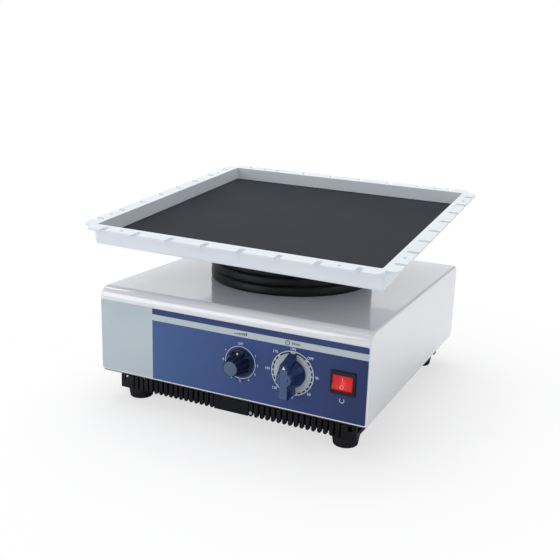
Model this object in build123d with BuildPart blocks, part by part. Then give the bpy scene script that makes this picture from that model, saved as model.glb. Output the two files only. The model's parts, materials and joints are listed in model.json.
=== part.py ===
from build123d import *
import os
from math import asin, cos, pi, radians, sin, sqrt, tan

os.makedirs("parts", exist_ok=True)

# Bench-top platform shaker. A gearmotor turns an upright shaft through a belt. The shaft's
# hub carries a pin that leans, and the platform rides on that pin, so that it nutates while
# a rubber bellows keeps it from turning. Millimetres, +Z up, +Y to the rear, origin where
# the drive axis meets the bench.

# ---------------------------------------------------------------------------------------
# Driving dimensions
# ---------------------------------------------------------------------------------------

# Fits shared by all pieces
fit_gap = 0.3            # between curved faces of pieces that move past each other
running_gap = 0.05       # radial, shaft in a bearing
screw_gap = 0.15         # radial, screw in its hole

# Housing
housing_width = 300.0
housing_depth = 312.4
housing_height = 90.4
axis_forward = 4.0       # drive axis ahead of the housing's middle
cover_sheet = 1.5
cover_bend_radius = 11.0
cover_edge_radius = 2.5
cover_lip = 12.0
top_opening_radius = 66.0
base_sheet = 1.5
base_inset = 1.0
base_flange_height = 10.0

# Runners and feet
foot_height = 11.5
foot_top_radius = 14.0
foot_bottom_radius = 12.2
foot_spacing = 240.0
runner_length = 272.0
runner_height = 22.0
runner_depth = 29.0
runner_setback = 14.5
ledge_depth = 8.0
ledge_drop = 7.5
rib_pitch = 6.25
rib_width = 4.2
rib_depth = 3.4
runner_belly = 3.0       # ribs hang below the core by this much
runner_middle_length = 39.0
runner_end_length = 16.0
runner_end_face = 2.5    # sheet of plastic in front of the hollow of each end block
runner_hole_width = 4.3
runner_hole_height = 5.0
runner_hole_drop = 3.2   # its centre below the ledge's top
runner_hollow_length = 12.0
runner_hollow_height = 7.0

# Drive
shaft_radius = 10.0
bearing_outer_radius = 21.0
bearing_width = 12.0
bearing_housing_radius = 27.0
bearing_housing_height = 51.0
bearing_flange_radius = 38.0
bearing_flange_height = 6.0
frame_width = 96.0
frame_height = 36.0
frame_sheet = 3.0
frame_foot = 14.0
frame_front = 44.0
frame_rear = 136.0
pulley_radius = 32.0
motor_pulley_radius = 16.0
pulley_width = 12.0
pulley_rim = 1.6
pulley_rim_width = 1.5
belt_thickness = 2.0
belt_width = 8.0
motor_distance = 92.0
motor_radius = 30.0
motor_height = 30.0
gearbox_height = 18.0
motor_shaft_radius = 4.0

# Nutating platform
wobble_height = 203.1    # where the leaning axis crosses the drive axis
tilt_angle = 5.6
tilt_heading = 14.4      # the low side faces the front, this far towards the right
platform_turn = 1.0      # slack turn of the platform that the bellows allows
pin_radius = 8.5
pin_bearing_radius = 17.5
pin_bearing_width = 10.0
hub_radius = 24.0
hub_height = 21.0
platform_hub_radius = 22.5
platform_hub_length = 31.0
platform_flange_radius = 48.0
platform_flange_height = 5.0

# Tray and mat
tray_opening = 304.5
tray_wall = 3.0
tray_floor = 2.0
tray_depth = 21.0        # flange top to the underside of the floor
tray_corner_radius = 4.0
tray_foot_radius = 4.5
flange_reach = 16.0
flange_sheet = 2.0
flange_corner = 4.0      # each side's strip runs past the opening by this much
flange_end_radius = 8.0
slot_pitch = 38.5
slot_count = 8
slot_width = 6.0
slot_depth = 11.0
hole_spacing = 231.0
flange_hole_radius = 1.9
flange_hole_inset = 7.0
mat_thickness = 4.8
mat_gap = 0.6

# Bellows and its clamp rings
bellows_radius = 91.0
bellows_groove = 2.4
bellows_wall = 2.4
bellows_folds = 5
bellows_flange_radius = 79.0
ring_inner_radius = 68.0
ring_outer_radius = 84.0
ring_height = 3.0
ring_screw_radius = 73.5
ring_screw_count = 8

# Front panel: overlay, knobs and switch, as distances from the middle and the lower edge
overlay_sheet = 0.5
overlay_margin = 1.2
overlay_height = 76.0
dial_height = 38.5
timer_spacing = 51.4     # from the power switch
speed_spacing = 55.9     # from the timer
knob_gap = 0.6
knob_skirt_radius = 14.2
knob_skirt_height = 2.6
knob_grip_radius = 12.2
knob_face_radius = 7.9
speed_knob_height = 20.4
knob_cap_radius = 7.3
knob_cap_height = 0.8
timer_hub_radius = 14.0
timer_face_radius = 8.8
timer_knob_height = 20.0
timer_bar_width = 8.6
timer_bar_tail = 20.5
timer_bar_head = 13.6
timer_bar_foot = 19.8
spindle_radius = 3.0
bushing_radius = 4.5
bushing_length = 6.5
nut_width = 12.0
nut_height = 2.0
pot_radius = 12.5
pot_depth = 11.0
timer_body_size = 42.0
timer_body_depth = 38.0
switch_inset = 24.5      # from the housing's right side
switch_x = housing_width / 2 - switch_inset
timer_x = switch_x - timer_spacing
speed_x = timer_x - speed_spacing
switch_z = 39.0
bezel_width = 24.7
bezel_height = 22.4
bezel_thickness = 2.2
switch_body_width = 22.0
switch_body_height = 20.9
switch_body_depth = 24.0
rocker_width = 19.8
rocker_height = 14.3
rocker_pivot_depth = 6.0
rocker_angle = 14.0

# Rear panel
inlet_x = housing_width / 2 - 50.0
inlet_z = 42.0
inlet_flange_width = 50.0
inlet_flange_height = 38.0
inlet_flange_thickness = 2.5
inlet_body_width = 28.0
inlet_body_height = 34.0
inlet_body_depth = 32.0
inlet_mouth_width = 24.4
inlet_mouth_height = 16.6
inlet_mouth_depth = 16.0
drawer_width = 22.0
drawer_height = 9.0
drawer_depth = 24.0
fuse_radius = 2.6
fuse_length = 20.0
vent_count = 9
vent_pitch = 8.0
vent_width = 3.0
vent_length = 34.0
vent_x = 58.0 - housing_width / 2
base_vent_shift = 80.0   # floor vents ahead of the transformer

# Electrics on the base plate. The transformer stands left and the board right, each midway
# between the drive frame's foot and the cover.
transformer_width = 66.0
transformer_depth = 55.0
transformer_height = 54.0
electrics_x = (frame_width / 2 + frame_foot + housing_width / 2 - cover_sheet) / 2
transformer_y = 78.0
coil_overhang = 9.0
board_width = 68.0
board_length = 128.0
board_sheet = 1.6
board_y = 10.0
standoff_height = 10.0
standoff_radius = 3.2
sink_width = 22.0
sink_length = 62.0
sink_height = 34.0
capacitor_radius = 9.0
capacitor_height = 28.0
block_height = 12.0
block_depth = 10.0
front_block_length = 34.0
rear_block_length = 24.0
wire_radius = 1.3

# Fasteners
small_head_radius = 3.2
small_head_height = 1.8
small_shank_radius = 1.5
large_head_radius = 4.4
large_head_height = 2.6
large_shank_radius = 2.2

# ---------------------------------------------------------------------------------------
# Places worked out from the driving dimensions
# ---------------------------------------------------------------------------------------

base_bottom = foot_height + runner_height
base_top = base_bottom + base_sheet
housing_top = base_top + housing_height
front_y = axis_forward - housing_depth / 2
rear_y = axis_forward + housing_depth / 2
dial_z = base_top + dial_height

front_plane = Plane.XZ.offset(-front_y)
panel_plane = front_plane.offset(overlay_sheet)
inner_front_plane = front_plane.offset(-cover_sheet)
rear_plane = Plane(origin=(0, rear_y, 0), x_dir=(-1, 0, 0), z_dir=(0, 1, 0))


def leaning_plane(centre, angle, turn=0.0):
    """A plane through centre, turned about its own normal and leaning by angle."""
    hinge = Axis((0, 0, 0), (cos(radians(tilt_heading)), sin(radians(tilt_heading)), 0))
    return Plane(
        origin=centre,
        x_dir=Vector(cos(radians(turn)), sin(radians(turn)), 0).rotate(hinge, angle),
        z_dir=Vector(0, 0, 1).rotate(hinge, angle),
    )


platform_plane = leaning_plane((0, 0, wobble_height), tilt_angle, platform_turn)
tray_bottom_plane = platform_plane.offset(-tray_depth)
floor_top_plane = tray_bottom_plane.offset(tray_floor)


def screws(plane, points, head_radius, head_height, shank_radius, shank_length):
    """Round-headed screws: heads stand on the plane and shanks go back through it."""
    with BuildPart() as group:
        with BuildSketch(plane):
            with Locations(*points):
                Circle(head_radius)
        extrude(amount=head_height)
        with BuildSketch(plane):
            with Locations(*points):
                Circle(shank_radius)
        extrude(amount=-shank_length)
    return group


def small_screws(plane, points, shank_length):
    return screws(
        plane, points, small_head_radius, small_head_height, small_shank_radius, shank_length
    )


def large_screws(plane, points, shank_length):
    return screws(
        plane, points, large_head_radius, large_head_height, large_shank_radius, shank_length
    )


# ---------------------------------------------------------------------------------------
# Feet and runners
# ---------------------------------------------------------------------------------------

foot_x = foot_spacing / 2
runner_front_y = front_y + runner_setback
runner_rear_y = rear_y - runner_setback
foot_front_y = runner_front_y + runner_depth / 2
foot_rear_y = runner_rear_y - runner_depth / 2
foot_places = {
    "front_left": (-foot_x, foot_front_y),
    "front_right": (foot_x, foot_front_y),
    "rear_left": (-foot_x, foot_rear_y),
    "rear_right": (foot_x, foot_rear_y),
}
foot_recess = large_head_height + 1.0
foot_screw_length = foot_height - foot_recess + runner_height + base_sheet

for place, (x, y) in foot_places.items():
    with BuildPart() as foot:
        with BuildSketch(Plane(origin=(x, y, 0))):
            Circle(foot_bottom_radius)
        with BuildSketch(Plane(origin=(x, y, foot_height))):
            Circle(foot_top_radius)
        loft()
        foot_rim = foot.faces().sort_by(Axis.Z)[0].edges()
        fillet(foot_rim, radius=1.5)
        with BuildSketch(Plane(origin=(x, y, 0))):
            Circle(large_head_radius + 0.6)
        extrude(amount=foot_recess, mode=Mode.SUBTRACT)
        with BuildSketch(Plane(origin=(x, y, 0))):
            Circle(large_shank_radius + screw_gap)
        extrude(amount=foot_height, mode=Mode.SUBTRACT)
    foot.part.label = f"foot_{place}"
    export_step(foot.part, f"parts/foot_{place}.step")

foot_points = [(x, -y) for x, y in foot_places.values()]
foot_screw_plane = Plane(origin=(0, 0, foot_recess), x_dir=(1, 0, 0), z_dir=(0, 0, -1))
foot_screws = large_screws(foot_screw_plane, foot_points, foot_screw_length)
foot_screws.part.label = "foot_screws"
export_step(foot_screws.part, "parts/foot_screws.step")

ledge_top = base_bottom - ledge_drop
runner_screw_xs = (-108.0, -7.0, 97.0)
runner_screw_inset = ledge_depth / 2
runner_screw_length = 9.0
ledge_head_height = 3.0
block_screw_x = runner_middle_length / 2 + 3.5
block_screw_z = foot_height + 4.0
block_screw_radius = 1.7
block_screw_height = 0.8
block_screw_length = 6.0


def rib_places():
    """Places of the ribs between the plain middle block and the plain end blocks."""
    first = runner_middle_length / 2 + rib_pitch / 2
    last = runner_length / 2 - runner_end_length - rib_pitch / 4
    count = int((last - first) / rib_pitch) + 1
    return [side * (first + i * rib_pitch) for side in (-1, 1) for i in range(count)]


def runner(name, face_plane):
    """Ribbed skid. face_plane lies on its outer face, with its normal outwards."""
    core_bottom = foot_height + runner_belly
    end_x = runner_length / 2 - runner_end_length / 2
    rib_bottom = foot_height + rib_width / 2
    hole_z = ledge_top - runner_hole_drop
    with BuildPart() as body:
        # Core behind the ribs, full height, and the lower step that the ribs stand on.
        with BuildSketch(face_plane.offset(-ledge_depth)):
            with Locations((0, (core_bottom + base_bottom) / 2)):
                Rectangle(runner_length, base_bottom - core_bottom)
        extrude(amount=ledge_depth - runner_depth)
        with BuildSketch(face_plane.offset(-rib_depth)):
            with Locations((0, (core_bottom + ledge_top) / 2)):
                Rectangle(runner_length, ledge_top - core_bottom)
        extrude(amount=rib_depth - ledge_depth)
        # Plain middle block and end blocks, down to the feet's top.
        with BuildSketch(face_plane):
            with Locations((0, (foot_height + ledge_top) / 2)):
                Rectangle(runner_middle_length, ledge_top - foot_height)
            with Locations((-end_x, (foot_height + ledge_top) / 2)):
                Rectangle(runner_end_length, ledge_top - foot_height)
            with Locations((end_x, (foot_height + ledge_top) / 2)):
                Rectangle(runner_end_length, ledge_top - foot_height)
        extrude(amount=-ledge_depth)
        # Pads that carry the feet.
        with BuildSketch(face_plane.offset(-ledge_depth)):
            with Locations((-foot_x, (foot_height + core_bottom) / 2)):
                Rectangle(2 * foot_top_radius, runner_belly)
            with Locations((foot_x, (foot_height + core_bottom) / 2)):
                Rectangle(2 * foot_top_radius, runner_belly)
        extrude(amount=ledge_depth - runner_depth)
        # Ribs with round lower ends.
        with BuildSketch(face_plane):
            with Locations(*[(x, (rib_bottom + ledge_top) / 2) for x in rib_places()]):
                Rectangle(rib_width, ledge_top - rib_bottom)
            with Locations(*[(x, rib_bottom) for x in rib_places()]):
                Circle(rib_width / 2)
        extrude(amount=-rib_depth)
        # Hollows behind the end blocks' front sheets, open at the ends and to the back.
        hollow_x = (runner_length - runner_hollow_length) / 2
        hollow_z = ledge_top - runner_hollow_height / 2
        with BuildSketch(face_plane.offset(-runner_end_face)):
            with Locations((-hollow_x, hollow_z), (hollow_x, hollow_z)):
                Rectangle(runner_hollow_length, runner_hollow_height)
        extrude(amount=runner_end_face - runner_depth, mode=Mode.SUBTRACT)
        # Square holes through the end blocks, screw holes for the feet and the ledge.
        with BuildSketch(face_plane):
            with Locations((-hollow_x + 1, hole_z), (hollow_x - 1, hole_z)):
                Rectangle(runner_hole_width, runner_hole_height)
            with Locations((block_screw_x, block_screw_z)):
                Circle(block_screw_radius / 2 + screw_gap)
        extrude(amount=-runner_depth, mode=Mode.SUBTRACT)
        outward = face_plane.z_dir.Y
        face_y = face_plane.origin.Y
        middle_y = face_y - outward * runner_depth / 2
        with BuildSketch(Plane.XY.offset(foot_height)):
            with Locations((-foot_x, middle_y), (foot_x, middle_y)):
                Circle(large_shank_radius + screw_gap)
        extrude(amount=foot_screw_length, mode=Mode.SUBTRACT)
        ledge_y = face_y - outward * runner_screw_inset
        with BuildSketch(Plane.XY.offset(ledge_top)):
            with Locations(*[(x * -outward, ledge_y) for x in runner_screw_xs]):
                Circle(small_shank_radius + screw_gap)
        extrude(amount=-runner_screw_length, mode=Mode.SUBTRACT)
    body.part.label = name
    export_step(body.part, f"parts/{name}.step")
    return body


front_runner_plane = Plane.XZ.offset(-runner_front_y)
rear_runner_plane = Plane(origin=(0, runner_rear_y, 0), x_dir=(-1, 0, 0), z_dir=(0, 1, 0))
front_runner = runner("front_runner", front_runner_plane)
rear_runner = runner("rear_runner", rear_runner_plane)

# Ledge screws stand upright. One small screw in each runner faces outwards.
with BuildPart() as runner_screws:
    ledge_points = [(x, runner_front_y + runner_screw_inset) for x in runner_screw_xs]
    ledge_points += [(-x, runner_rear_y - runner_screw_inset) for x in runner_screw_xs]
    with BuildSketch(Plane.XY.offset(ledge_top)):
        with Locations(*ledge_points):
            Circle(small_head_radius)
    extrude(amount=ledge_head_height)
    with BuildSketch(Plane.XY.offset(ledge_top)):
        with Locations(*ledge_points):
            Circle(small_shank_radius)
    extrude(amount=-runner_screw_length)
    for plane in (front_runner_plane, rear_runner_plane):
        with BuildSketch(plane):
            with Locations((block_screw_x, block_screw_z)):
                Circle(block_screw_radius)
        extrude(amount=block_screw_height)
        with BuildSketch(plane):
            with Locations((block_screw_x, block_screw_z)):
                Circle(block_screw_radius / 2)
        extrude(amount=-block_screw_length)
runner_screws.part.label = "runner_screws"
export_step(runner_screws.part, "parts/runner_screws.step")

# ---------------------------------------------------------------------------------------
# Base plate
# ---------------------------------------------------------------------------------------

base_width = housing_width - 2 * base_inset
base_depth = housing_depth - 2 * base_inset
lip_screw_inset = cover_sheet + cover_lip / 2
cover_screw_x = housing_width / 2 - 40.0
cover_screw_points = [
    (x, y)
    for x in (-cover_screw_x, 0.0, cover_screw_x)
    for y in (front_y + lip_screw_inset, rear_y - lip_screw_inset)
]
cover_screw_length = base_sheet + cover_sheet + 1.5
base_vent_points = [
    (-electrics_x + i * vent_pitch, transformer_y - base_vent_shift) for i in range(-3, 4)
]
base_vent_points += [(electrics_x + i * vent_pitch, board_y) for i in range(-2, 3)]

with BuildPart() as base_plate:
    with BuildSketch(Plane.XY.offset(base_bottom)):
        with Locations((0, axis_forward)):
            RectangleRounded(base_width, base_depth, 2.0)
    extrude(amount=base_sheet)
    # Upturned side flanges just inside the cover.
    flange_x = housing_width / 2 - cover_sheet - fit_gap - base_sheet / 2
    with BuildSketch(Plane.XY.offset(base_top)):
        with Locations((-flange_x, axis_forward), (flange_x, axis_forward)):
            Rectangle(base_sheet, base_depth - 2 * cover_lip - 8)
    extrude(amount=base_flange_height)
    with BuildSketch(Plane.XY.offset(base_bottom)):
        with Locations(*cover_screw_points):
            Circle(small_shank_radius + screw_gap)
        with Locations(*foot_places.values()):
            Circle(large_shank_radius + screw_gap)
        with Locations(*base_vent_points):
            SlotOverall(vent_length, vent_width, rotation=90)
    extrude(amount=base_sheet, mode=Mode.SUBTRACT)
base_plate.part.label = "base_plate"
export_step(base_plate.part, "parts/base_plate.step")

underside_plane = Plane(origin=(0, 0, base_bottom), x_dir=(1, 0, 0), z_dir=(0, 0, -1))
cover_screws = small_screws(
    underside_plane, [(x, -y) for x, y in cover_screw_points], cover_screw_length
)
cover_screws.part.label = "cover_screws"
export_step(cover_screws.part, "parts/cover_screws.step")

# ---------------------------------------------------------------------------------------
# Housing cover: folded sheet with rounded front and rear bends
# ---------------------------------------------------------------------------------------

switch_centre = (switch_x, base_top + switch_z)
inlet_centre = (-inlet_x, base_top + inlet_z)
vent_points = [
    (-vent_x + (i - (vent_count - 1) / 2) * vent_pitch, inlet_centre[1]) for i in range(vent_count)
]
ring_points = [
    (ring_screw_radius * cos(a), ring_screw_radius * sin(a))
    for a in [2 * pi * (i + 0.5) / ring_screw_count for i in range(ring_screw_count)]
]
inlet_screw_x = inlet_flange_width / 2 - 5.0
inlet_screw_points = [
    (inlet_centre[0] - inlet_screw_x, inlet_centre[1]),
    (inlet_centre[0] + inlet_screw_x, inlet_centre[1]),
]


def side_profile(plane, inset, bend_radius, foot_inset):
    """The cover's outline seen from the side, drawn inset from the outer faces."""
    front = front_y + inset
    rear = rear_y - inset
    top = housing_top - inset
    bottom = base_top - foot_inset
    with BuildSketch(plane) as profile:
        with BuildLine():
            Line((front, bottom), (rear, bottom))
            Line((rear, bottom), (rear, top - bend_radius))
            RadiusArc(
                (rear, top - bend_radius), (rear - bend_radius, top), -bend_radius
            )
            Line((rear - bend_radius, top), (front + bend_radius, top))
            RadiusArc(
                (front + bend_radius, top), (front, top - bend_radius), -bend_radius
            )
            Line((front, top - bend_radius), (front, bottom))
        make_face()
    return profile.sketch


outer_profile = side_profile(Plane.YZ.offset(-housing_width / 2), 0, cover_bend_radius, 0)
inner_profile = side_profile(
    Plane.YZ.offset(cover_sheet - housing_width / 2),
    cover_sheet,
    cover_bend_radius - cover_sheet,
    1.0,
)

with BuildPart() as housing_cover:
    extrude(outer_profile, amount=housing_width)
    side_faces = housing_cover.faces().filter_by(Axis.X)
    side_edges = side_faces.edges().filter_by(lambda e: e.center().Z > base_top + 1)
    fillet(side_edges, radius=cover_edge_radius)
    extrude(inner_profile, amount=housing_width - 2 * cover_sheet, mode=Mode.SUBTRACT)
    # Lips folded inwards at the front and the rear, which the base screws hold.
    lip_y = (front_y + cover_sheet + cover_lip / 2, rear_y - cover_sheet - cover_lip / 2)
    with BuildSketch(Plane.XY.offset(base_top)):
        with Locations((0, lip_y[0]), (0, lip_y[1])):
            Rectangle(housing_width - 2 * cover_sheet, cover_lip)
    extrude(amount=cover_sheet)
    with BuildSketch(Plane.XY.offset(base_top)):
        with Locations(*cover_screw_points):
            Circle(small_shank_radius + screw_gap)
    extrude(amount=cover_sheet, mode=Mode.SUBTRACT)
    # Opening for the drive, and the clamp ring's screw holes around it.
    with BuildSketch(Plane.XY.offset(housing_top - cover_sheet)):
        Circle(top_opening_radius)
        with Locations(*ring_points):
            Circle(small_shank_radius + screw_gap)
    extrude(amount=cover_sheet, mode=Mode.SUBTRACT)
    # Front panel holes.
    with BuildSketch(front_plane):
        with Locations((speed_x, dial_z), (timer_x, dial_z)):
            Circle(bushing_radius + screw_gap)
        with Locations(switch_centre):
            Rectangle(switch_body_width + 0.2, switch_body_height + 0.2)
    extrude(amount=-cover_sheet, mode=Mode.SUBTRACT)
    # Rear panel: vents, inlet cut-out and its screws.
    with BuildSketch(rear_plane):
        with Locations(*vent_points):
            SlotOverall(vent_length, vent_width, rotation=90)
        with Locations(inlet_centre):
            Rectangle(inlet_body_width + 0.2, inlet_body_height + 0.2)
        with Locations(*inlet_screw_points):
            Circle(small_shank_radius + screw_gap)
    extrude(amount=-cover_sheet, mode=Mode.SUBTRACT)
housing_cover.part.label = "housing_cover"
export_step(housing_cover.part, "parts/housing_cover.step")

with BuildPart() as front_overlay:
    with BuildSketch(front_plane):
        with Locations((0, base_top + overlay_margin + overlay_height / 2)):
            RectangleRounded(housing_width - 2 * overlay_margin, overlay_height, 1.0)
        with Locations((speed_x, dial_z), (timer_x, dial_z)):
            Circle(bushing_radius + screw_gap, mode=Mode.SUBTRACT)
        with Locations(switch_centre):
            Rectangle(
                switch_body_width + 0.2, switch_body_height + 0.2, mode=Mode.SUBTRACT
            )
    extrude(amount=overlay_sheet)
front_overlay.part.label = "front_overlay"
export_step(front_overlay.part, "parts/front_overlay.step")

# ---------------------------------------------------------------------------------------
# Speed control and timer
# ---------------------------------------------------------------------------------------

knob_base_plane = panel_plane.offset(knob_gap)
nut_pocket_radius = nut_width / 2 / cos(pi / 6) + fit_gap
spindle_reach = 14.0


def control_body(name, x, width, height, depth, round_body):
    """Potentiometer or timer: a body behind the panel and a threaded bushing through it."""
    with BuildPart() as body:
        with BuildSketch(inner_front_plane):
            with Locations((x, dial_z)):
                if round_body:
                    Circle(width / 2)
                else:
                    RectangleRounded(width, height, 3.0)
        extrude(amount=-depth)
        with BuildSketch(inner_front_plane):
            with Locations((x, dial_z)):
                Circle(bushing_radius)
        extrude(amount=bushing_length)
        with BuildSketch(inner_front_plane.offset(-depth / 2)):
            with Locations((x, dial_z)):
                Circle(spindle_radius + running_gap)
        extrude(amount=depth / 2 + bushing_length, mode=Mode.SUBTRACT)
        # Solder tags on the side away from the panel.
        with BuildSketch(inner_front_plane.offset(-depth)):
            for step in (-1, 0, 1):
                with Locations((x + step * 5.0, dial_z)):
                    Rectangle(2.0, 0.8)
        extrude(amount=-6.0)
    body.part.label = name
    export_step(body.part, f"parts/{name}.step")
    return body


speed_potentiometer = control_body(
    "speed_potentiometer", speed_x, 2 * pot_radius, 2 * pot_radius, pot_depth, True
)
timer_module = control_body(
    "timer_module", timer_x, timer_body_size, timer_body_size, timer_body_depth, False
)

# The nuts sit in the knobs' hollow undersides.
with BuildPart() as control_nuts:
    with BuildSketch(panel_plane):
        with Locations((speed_x, dial_z), (timer_x, dial_z)):
            RegularPolygon(nut_width / 2, 6, major_radius=False)
            Circle(bushing_radius + screw_gap, mode=Mode.SUBTRACT)
    extrude(amount=nut_height)
control_nuts.part.label = "control_nuts"
export_step(control_nuts.part, "parts/control_nuts.step")

for name, x, depth in (
    ("speed_spindle", speed_x, pot_depth),
    ("timer_spindle", timer_x, timer_body_depth),
):
    with BuildPart() as spindle:
        with BuildSketch(inner_front_plane.offset(0.5 - depth / 2)):
            with Locations((x, dial_z)):
                Circle(spindle_radius)
        extrude(amount=depth / 2 - 0.5 + cover_sheet + overlay_sheet + spindle_reach)
    spindle.part.label = name
    export_step(spindle.part, f"parts/{name}.step")

speed_axis_plane = Plane(
    origin=(speed_x, panel_plane.origin.Y, dial_z), x_dir=(1, 0, 0), z_dir=(0, 0, 1)
)
timer_axis_plane = Plane(
    origin=(timer_x, panel_plane.origin.Y, dial_z), x_dir=(1, 0, 0), z_dir=(0, 0, 1)
)


def knob_hollow(x):
    """Cut the underside of a knob free of the nut, and bore it for its spindle."""
    with BuildSketch(knob_base_plane) as pocket:
        with Locations((x, dial_z)):
            Circle(nut_pocket_radius)
    pocket_depth = bushing_length - cover_sheet - overlay_sheet
    extrude(pocket.sketch, amount=pocket_depth, mode=Mode.SUBTRACT)
    with BuildSketch(panel_plane) as bore:
        with Locations((x, dial_z)):
            Circle(spindle_radius)
    extrude(bore.sketch, amount=spindle_reach, mode=Mode.SUBTRACT)


with BuildPart() as speed_knob:
    with BuildSketch(speed_axis_plane):
        with BuildLine():
            Polyline(
                (0, -knob_gap),
                (knob_skirt_radius, -knob_gap),
                (knob_skirt_radius - 0.6, -knob_gap - knob_skirt_height),
                (knob_grip_radius, -knob_gap - knob_skirt_height - 0.6),
                (knob_face_radius, -speed_knob_height),
                (0, -speed_knob_height),
                close=True,
            )
        make_face()
    revolve(axis=Axis((speed_x, front_y, dial_z), (0, 1, 0)))
    knob_hollow(speed_x)
    with BuildSketch(panel_plane.offset(speed_knob_height)):
        with Locations((speed_x, dial_z)):
            Circle(knob_cap_radius)
    extrude(amount=-knob_cap_height, mode=Mode.SUBTRACT)
speed_knob.part.label = "speed_knob"
export_step(speed_knob.part, "parts/speed_knob.step")

with BuildPart() as speed_knob_cap:
    with BuildSketch(panel_plane.offset(speed_knob_height)):
        with Locations((speed_x, dial_z)):
            Circle(knob_cap_radius)
    extrude(amount=-knob_cap_height)
speed_knob_cap.part.label = "speed_knob_cap"
export_step(speed_knob_cap.part, "parts/speed_knob_cap.step")

timer_side_plane = Plane(
    origin=(timer_x - timer_bar_width / 2, panel_plane.origin.Y, dial_z),
    x_dir=(0, -1, 0),
    z_dir=(1, 0, 0),
)
with BuildPart() as timer_knob:
    with BuildSketch(timer_axis_plane):
        with BuildLine():
            Polyline(
                (0, -knob_gap),
                (timer_hub_radius, -knob_gap),
                (timer_hub_radius, -knob_gap - 2.0),
                (timer_face_radius, -timer_knob_height),
                (0, -timer_knob_height),
                close=True,
            )
        make_face()
    revolve(axis=Axis((timer_x, front_y, dial_z), (0, 1, 0)))
    # Grip bar across the hub. In this plane x runs outwards and y runs down.
    with BuildSketch(timer_side_plane):
        with BuildLine():
            Polyline(
                (knob_gap, timer_bar_tail),
                (timer_knob_height, timer_bar_tail),
                (timer_knob_height, -timer_bar_head),
                (knob_gap, -timer_bar_foot),
                close=True,
            )
        make_face()
    extrude(amount=timer_bar_width)
    knob_hollow(timer_x)
timer_knob.part.label = "timer_knob"
export_step(timer_knob.part, "parts/timer_knob.step")

# ---------------------------------------------------------------------------------------
# Power switch
# ---------------------------------------------------------------------------------------

bezel_plane = panel_plane.offset(bezel_thickness)
rocker_radius = sqrt((rocker_height / 2) ** 2 + rocker_pivot_depth**2)
pivot_y = bezel_plane.origin.Y + rocker_pivot_depth
pivot_z = switch_centre[1]
trunnion_radius = 1.6
trunnion_length = 0.8


def rocker_plane(half_width):
    """Plane across the switch's pivot, facing +X, with x to the rear and y up."""
    return Plane(
        origin=(switch_x - half_width, pivot_y, pivot_z), x_dir=(0, 1, 0), z_dir=(1, 0, 0)
    )


with BuildPart() as switch_housing:
    with BuildSketch(panel_plane):
        with Locations(switch_centre):
            RectangleRounded(bezel_width, bezel_height, 1.0)
    extrude(amount=bezel_thickness)
    fillet(switch_housing.faces().sort_by(Axis.Y)[0].outer_wire().edges(), radius=0.7)
    with BuildSketch(panel_plane):
        with Locations(switch_centre):
            Rectangle(switch_body_width, switch_body_height)
    extrude(amount=-switch_body_depth)
    half = rocker_width / 2 + fit_gap
    with BuildSketch(rocker_plane(half)):
        Circle(rocker_radius + fit_gap)
    extrude(amount=2 * half, mode=Mode.SUBTRACT)
    half = rocker_width / 2 + fit_gap + trunnion_length
    with BuildSketch(rocker_plane(half)):
        Circle(trunnion_radius + running_gap)
    extrude(amount=2 * half, mode=Mode.SUBTRACT)
    # Blade terminals at the rear.
    with BuildSketch(panel_plane.offset(-switch_body_depth)):
        for step_x in (-1, 1):
            for step_z in (-1, 1):
                with Locations((switch_x + step_x * 6.0, pivot_z + step_z * 5.0)):
                    Rectangle(0.8, 4.8)
    extrude(amount=-8.0)
switch_housing.part.label = "switch_housing"
export_step(switch_housing.part, "parts/switch_housing.step")

# The rocker is drawn at rest, switched on: upper half flush, lower half proud.
rocker_back = 2.5
with BuildPart() as power_rocker:
    with BuildSketch(rocker_plane(rocker_width / 2)):
        Circle(rocker_radius)
        with BuildLine():
            lower_angle = radians(2 * rocker_angle)
            reach = 2 * rocker_radius
            crown = -rocker_pivot_depth * cos(radians(rocker_angle))
            Polyline(
                (rocker_back, reach),
                (crown, reach),
                (crown, 0),
                (crown - reach * sin(lower_angle), -reach * cos(lower_angle)),
                (rocker_back, -reach * cos(lower_angle)),
                close=True,
            )
        make_face(mode=Mode.INTERSECT)
    extrude(amount=rocker_width)
    half = rocker_width / 2 + trunnion_length
    with BuildSketch(rocker_plane(half)):
        Circle(trunnion_radius)
    extrude(amount=2 * half)
power_rocker.part.label = "power_rocker"
export_step(power_rocker.part, "parts/power_rocker.step")

# ---------------------------------------------------------------------------------------
# Mains inlet with a fuse drawer
# ---------------------------------------------------------------------------------------

inlet_u, inlet_v = inlet_centre
mouth_v = inlet_v + inlet_body_height / 2 - inlet_mouth_height / 2 - 3.0
drawer_v = inlet_v - inlet_body_height / 2 + drawer_height / 2 + 2.5
inlet_face_plane = rear_plane.offset(inlet_flange_thickness)
drawer_gap = 0.25

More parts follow.
